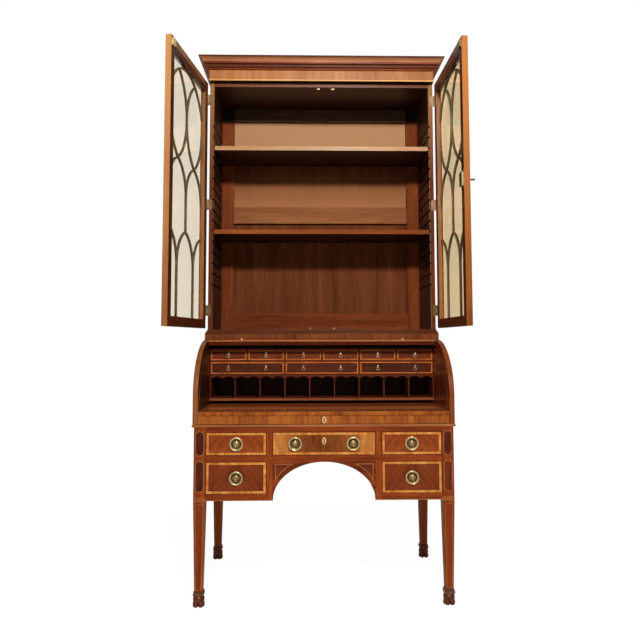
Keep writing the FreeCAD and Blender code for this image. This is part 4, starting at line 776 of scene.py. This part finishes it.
# Painted light and sheen on the upper panel: paler downwards from under the upper shelf, where its shadow ends,
# and paler upwards above the shelf.
lit_panels = [timber(f"bookcase back panel {part}", *PANEL_TONES, 2, paler=(2, start, end, colour, 0.8),
                     **BACK_CUT)
              for part, start, end, colour in (("under the shelf", 1.83, 1.64, (182, 125, 85)),
                                               ("over the shelf", 1.84, 1.93, (204, 156, 114)))]
# Pale strips on the chamfered inner corners of the sides: painted highlights, paler on the right.
lit_corners = [timber(f"worn corner of the {side} side", dark, light, 2, along=40, pores=0.6)
              for side, dark, light in (("left", (54, 50, 42), (92, 88, 76)),
                                        ("right", (96, 90, 88), (138, 132, 130)))]
# A near-black wood for the shelf grooves and the cornice's underside: painted shade.
painted_shade = timber("painted shade in grooves and under the cornice", (20, 10, 6), (38, 20, 13), 1)
# The sides' front edges grow paler upwards: painted sheen.
front_edges = {"bookcase_sides": timber("bookcase side edge", (78, 36, 19), (118, 60, 33), 2,
                                        paler=(2, 1.7, 2.15, (172, 122, 80), 0.8), **MATT),
               "bookcase_carcass": timber("bookcase top edge", (86, 44, 26), (128, 72, 46), 0),
               "lower_shelf": timber("lower shelf edge", (116, 60, 30), (156, 88, 46), 0, **MATT),
               # The upper shelf's edge is a lighter copy of the lower one's: painted highlight.
               "upper_shelf": timber("upper shelf edge, painted highlight", (164, 120, 80), (202, 156, 110), 0)}


def back_panels(low, high):
    """The grain of the back's panels, which runs up though they are wider than they are high."""
    return 2 if low.y > BACK_PANELS * MM and high.z - low.z > 0.3 else None


for node, body in (("bookcase_sides", "case"), ("bookcase_carcass", "case"), ("lower_shelf", "shelf_low"),
                   ("upper_shelf", "shelf_high")):
    sides, carcass = node == "bookcase_sides", node == "bookcase_carcass"
    shape = grained(merged(node), back_panels)
    if sides:
        corners = [edge for edge in shape.edges
                   if all(abs(abs(end.co.x) - SIDE_INNER * MM) < 0.1 * MM and end.co.y < -11.9 * MM
                          for end in edge.verts)]
        bmesh.ops.bevel(shape, geom=corners, offset=2 * MM, offset_type="OFFSET", segments=1, profile=0.5,
                        affect="EDGES", material=-1, clamp_overlap=True)
    if carcass:
        cut(shape, [face for face in shape.faces if face.calc_center_median().y > BACK_PANELS * MM],
            (0, 0, SHELF * MM))
    for solid in solids_in(shape):
        low, high = reach(solid)
        for face in solid:
            middle, toward = face.calc_center_median(), face.normal
            if sides and abs(toward.x) > 0.5 and toward.y < -0.5:
                face.material_index = LIT if middle.x < 0 else LIT + 1
            elif toward.y < -0.9 and middle.y < 10 * MM:
                face.material_index = FRONT
            elif body == "case" and (toward.y > 0.9 or toward.z > 0.9 and middle.z > 2.13
                                     or toward.x * middle.x > 0 and abs(middle.x) > SIDE_OUTER * MM):
                face.material_index += OUTSIDE
            elif carcass and low.y > BACK_PANELS * MM:
                face.material_index = PANEL if middle.z < 1.6 else (
                    UNDER_SHELF if middle.z < SHELF * MM else OVER_SHELF)
            elif carcass and low.y > BACK_FRAME * MM:
                if high.x - low.x > LONG and low.z > 1.5:
                    face.material_index = RAIL if low.z < 2 else TOP_RAIL
                else:
                    face.material_index += BACK
            elif sides and 474 * MM < abs(middle.x) < 492 * MM and abs(toward.y) < 0.5:
                face.material_index = GROOVE
    finished(f"{node}_boards", eased(shape, 0.5), body, "mahogany",
             inner_wood + back_wood + [panel_wood, front_edges[node], painted_shade] + mahogany
             + [back_rail, top_rail] + lit_panels + lit_corners, node)

# Mouldings: a waist moulding where the bookcase stands on the desk, and a cornice over it,
# run in mahogany and mitred at the corners. The frieze is crossbanded over a light bead.
BAND_TOP, SOFFIT_TOP = 1.0285, 2.142
FRIEZE, LIGHT_BEAD, COVE, OGEE, CAP, SOFFIT = range(3, 9)
RUNS = ((2.148, 2.188, 0.5, FRIEZE), (2.1, 2.148, 0.9, LIGHT_BEAD), (2.1945, 2.2104, 2, OGEE),
        (2.2186, 2.2354, 2, COVE), (2.2354, 2.3, 2, CAP))
waist_wood = timbers("waist mahogany", (58, 26, 12), (100, 52, 27), gloss=0.03, polish=0)
waist_band = timber("waist crossband", (84, 38, 16), (136, 72, 34), 2, along=6, across=50, figure=0.7)
waist = grained(merged("waist_moulding"))
for face in waist.faces:
    if face.calc_center_median().z < BAND_TOP and abs(face.normal.z) < 0.9:
        face.material_index = 3
finished("waist_moulding_runs", waist, "case", "mahogany", waist_wood + [waist_band], "waist_moulding")
frieze_wood = timber("frieze crossband", (150, 86, 44), (196, 136, 84), 2, along=5, across=60, figure=0.45)
frieze_bead = timber("frieze bead", (206, 150, 88), (244, 196, 132), 0)
# The cove is a lighter copy of the mahogany: painted highlight.
cove_highlight = timber("cove mahogany, painted highlight", (146, 88, 56), (198, 140, 100), 0)
ogee_wood = timber("ogee mahogany", (74, 32, 12), (112, 52, 24), 0)
cap_wood = timber("cap mahogany", (56, 24, 10), (92, 46, 20), 0)
# Faces under the cornice get the near-black wood: painted shade.
cornice = grained(merged("cornice"))
for face in cornice.faces:
    height, steep = face.calc_center_median().z, face.normal.z
    if steep < -0.9 and height < SOFFIT_TOP:
        face.material_index = SOFFIT
    else:
        for low, high, steepest, run in RUNS:
            if low < height < high and abs(steep) < steepest:
                face.material_index = run
finished("cornice_runs", cornice, "case", "mahogany",
         mahogany + [frieze_wood, frieze_bead, cove_highlight, ogee_wood, cap_wood, painted_shade], "cornice")

# Doors: mahogany frames with lighter edges, paler upwards as painted sheen, painted light on the top
# rail and the left door painted darker as shade, tracery of thin dark bars on both sides of old glass,
# brass hinges and catches, and a lock with its case and its cover on the inside of the right door.
LEDGE, CATCH_FOOT, PEG_TOP = 24, 2.08, 1.2
DOOR_EDGE, REVEAL, LIT_LEDGE = 3, 4, 5
LOCK_PLATE = ((4, -26), (34, -26), (34, 26), (4, 26))
EDGE_CUT = {"along": 5, "across": 60, "figure": 0.7, "polish": 0.02}
# The free edges grow paler up to the height of the lamp's highlight: painted sheen.
door_edges = {"left": timber("left door edge", (134, 80, 44), (184, 126, 80), 2,
                             paler=(2, 1.1, 1.9, (206, 150, 96), 0.6), **EDGE_CUT),
              "right": timber("right door edge", (110, 56, 22), (156, 90, 40), 2,
                              paler=(2, 1.1, 1.9, (178, 110, 50), 0.8), **EDGE_CUT)}
door_reveal = timber("door reveal", (116, 72, 40), (160, 110, 68), 2, along=5, across=60)
# The top band of each door's inner face is a paler wood: painted light on the top rail.
lit_door_rail = timber("door rail with painted light", (104, 66, 40), (160, 114, 76), 0, along=12, across=60, figure=0.8)
# The left door's mahogany is a darker copy of the right's: painted shade and light from how each door faces the
# lamps.
door_woods = {"left": timbers("left door mahogany", (48, 20, 9), (92, 42, 20)),
              "right": timbers("right door mahogany", (64, 28, 15), (116, 56, 31))}
muntin = patchy("painted bars", (78, 64, 40), (118, 100, 66), 70, 4, 0.45)
lock_brass = brass("lock brass", (128, 108, 72), (180, 160, 116), 0.5)
hinge_brass = brass("hinge brass", (70, 50, 28), (140, 108, 68), 0.5)
bright_brass = brass("bright brass", (200, 170, 92), (250, 232, 150), 0.55)


def old_glass(name, tone):
    """Old cylinder glass, a little wavy and tinted."""
    material, tree, shader = new_material(name)
    ripple = shader_node(tree, "TexNoise", {"Vector": own_place(tree), "Scale": 9, "Detail": 2}).outputs[0]
    bump = shader_node(tree, "Bump", {"Height": ripple, "Strength": 0.15, "Distance": 1 * MM})
    tree.links.new(bump.outputs["Normal"], shader.inputs["Normal"])
    shader.inputs["Base Color"].default_value = tone
    shader.inputs["Roughness"].default_value = 0.02
    shader.inputs["IOR"].default_value = 1.2
    shader.inputs["Transmission Weight"].default_value = 1.0
    return material


for side, turn, tone in (("left", -97.6, (0.92, 0.84, 0.68, 1)), ("right", 91 + 180, (0.88, 0.69, 0.41, 1))):
    body = f"{side}_door"
    along = Vector((math.cos(math.radians(turn)), math.sin(math.radians(turn)), 0))
    inward = Vector((along.y, -along.x, 0))
    leaf = grained(merged(f"{body}_frame"))
    free_edge = max(corner.co.dot(along) for corner in leaf.verts)
    inner_face = max(corner.co.dot(inward) for corner in leaf.verts)
    ledge = max(corner.co.z for corner in leaf.verts) - LEDGE * MM
    cut(leaf, [face for solid in solids_in(leaf) if reach(solid)[0].z > ledge - 96 * MM for face in solid],
        (0, 0, ledge))
    for face in leaf.faces:
        middle = face.calc_center_median()
        if face.normal.dot(along) > 0.9:
            face.material_index = DOOR_EDGE if middle.dot(along) > free_edge - 2 * MM else REVEAL
        elif face.normal.x * middle.x < 0 and abs(face.normal.x) > 0.9 and middle.z > ledge:
            face.material_index = LIT_LEDGE
    finished(f"{body}_frame_boards", eased(leaf, 0.8), body, "mahogany",
             door_woods[side] + [door_edges[side], door_reveal, lit_door_rail], f"{body}_frame")
    finished(f"{body}_bars", eased(merged(f"{body}_tracery"), 1.2), body, "muntin", [muntin],
             f"{body}_tracery")
    if side == "right":
        keyhole_z = sum(corner.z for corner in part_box("door_key")) / 2
        for name, base, thick, metal in (("case", 0, 8, lock_brass), ("cover", 8, 1.5, dark_brass)):
            plate = [(inward * (inner_face + base * MM) + along * (free_edge - back * MM)
                      + Vector((0, 0, keyhole_z + up * MM))) / MM for back, up in LOCK_PLATE]
            veneered(f"right_door_lock_{name}", body, [plate], [0], [metal], inward, proud=thick, slot="brass")
    coated(f"{body}_glass", old_glass(f"{side} door glass", tone))
for node, body in (("left_door_brasses", "left_door"), ("right_door_brasses", "right_door"),
                   ("bookcase_brasses", "case")):
    fittings = merged(node)
    for solid in solids_in(fittings):
        low, high = reach(solid)
        for face in solid:
            if low.z > CATCH_FOOT and body == "left_door":
                face.material_index = 1
            elif abs(low.x) < 0.4 and low.z < PEG_TOP:
                face.material_index = 2
    finished(f"{node}_fittings", fittings, body, "brass", [hinge_brass, bright_brass, rubbed_brass], node)
coated("door_key", hinge_brass)
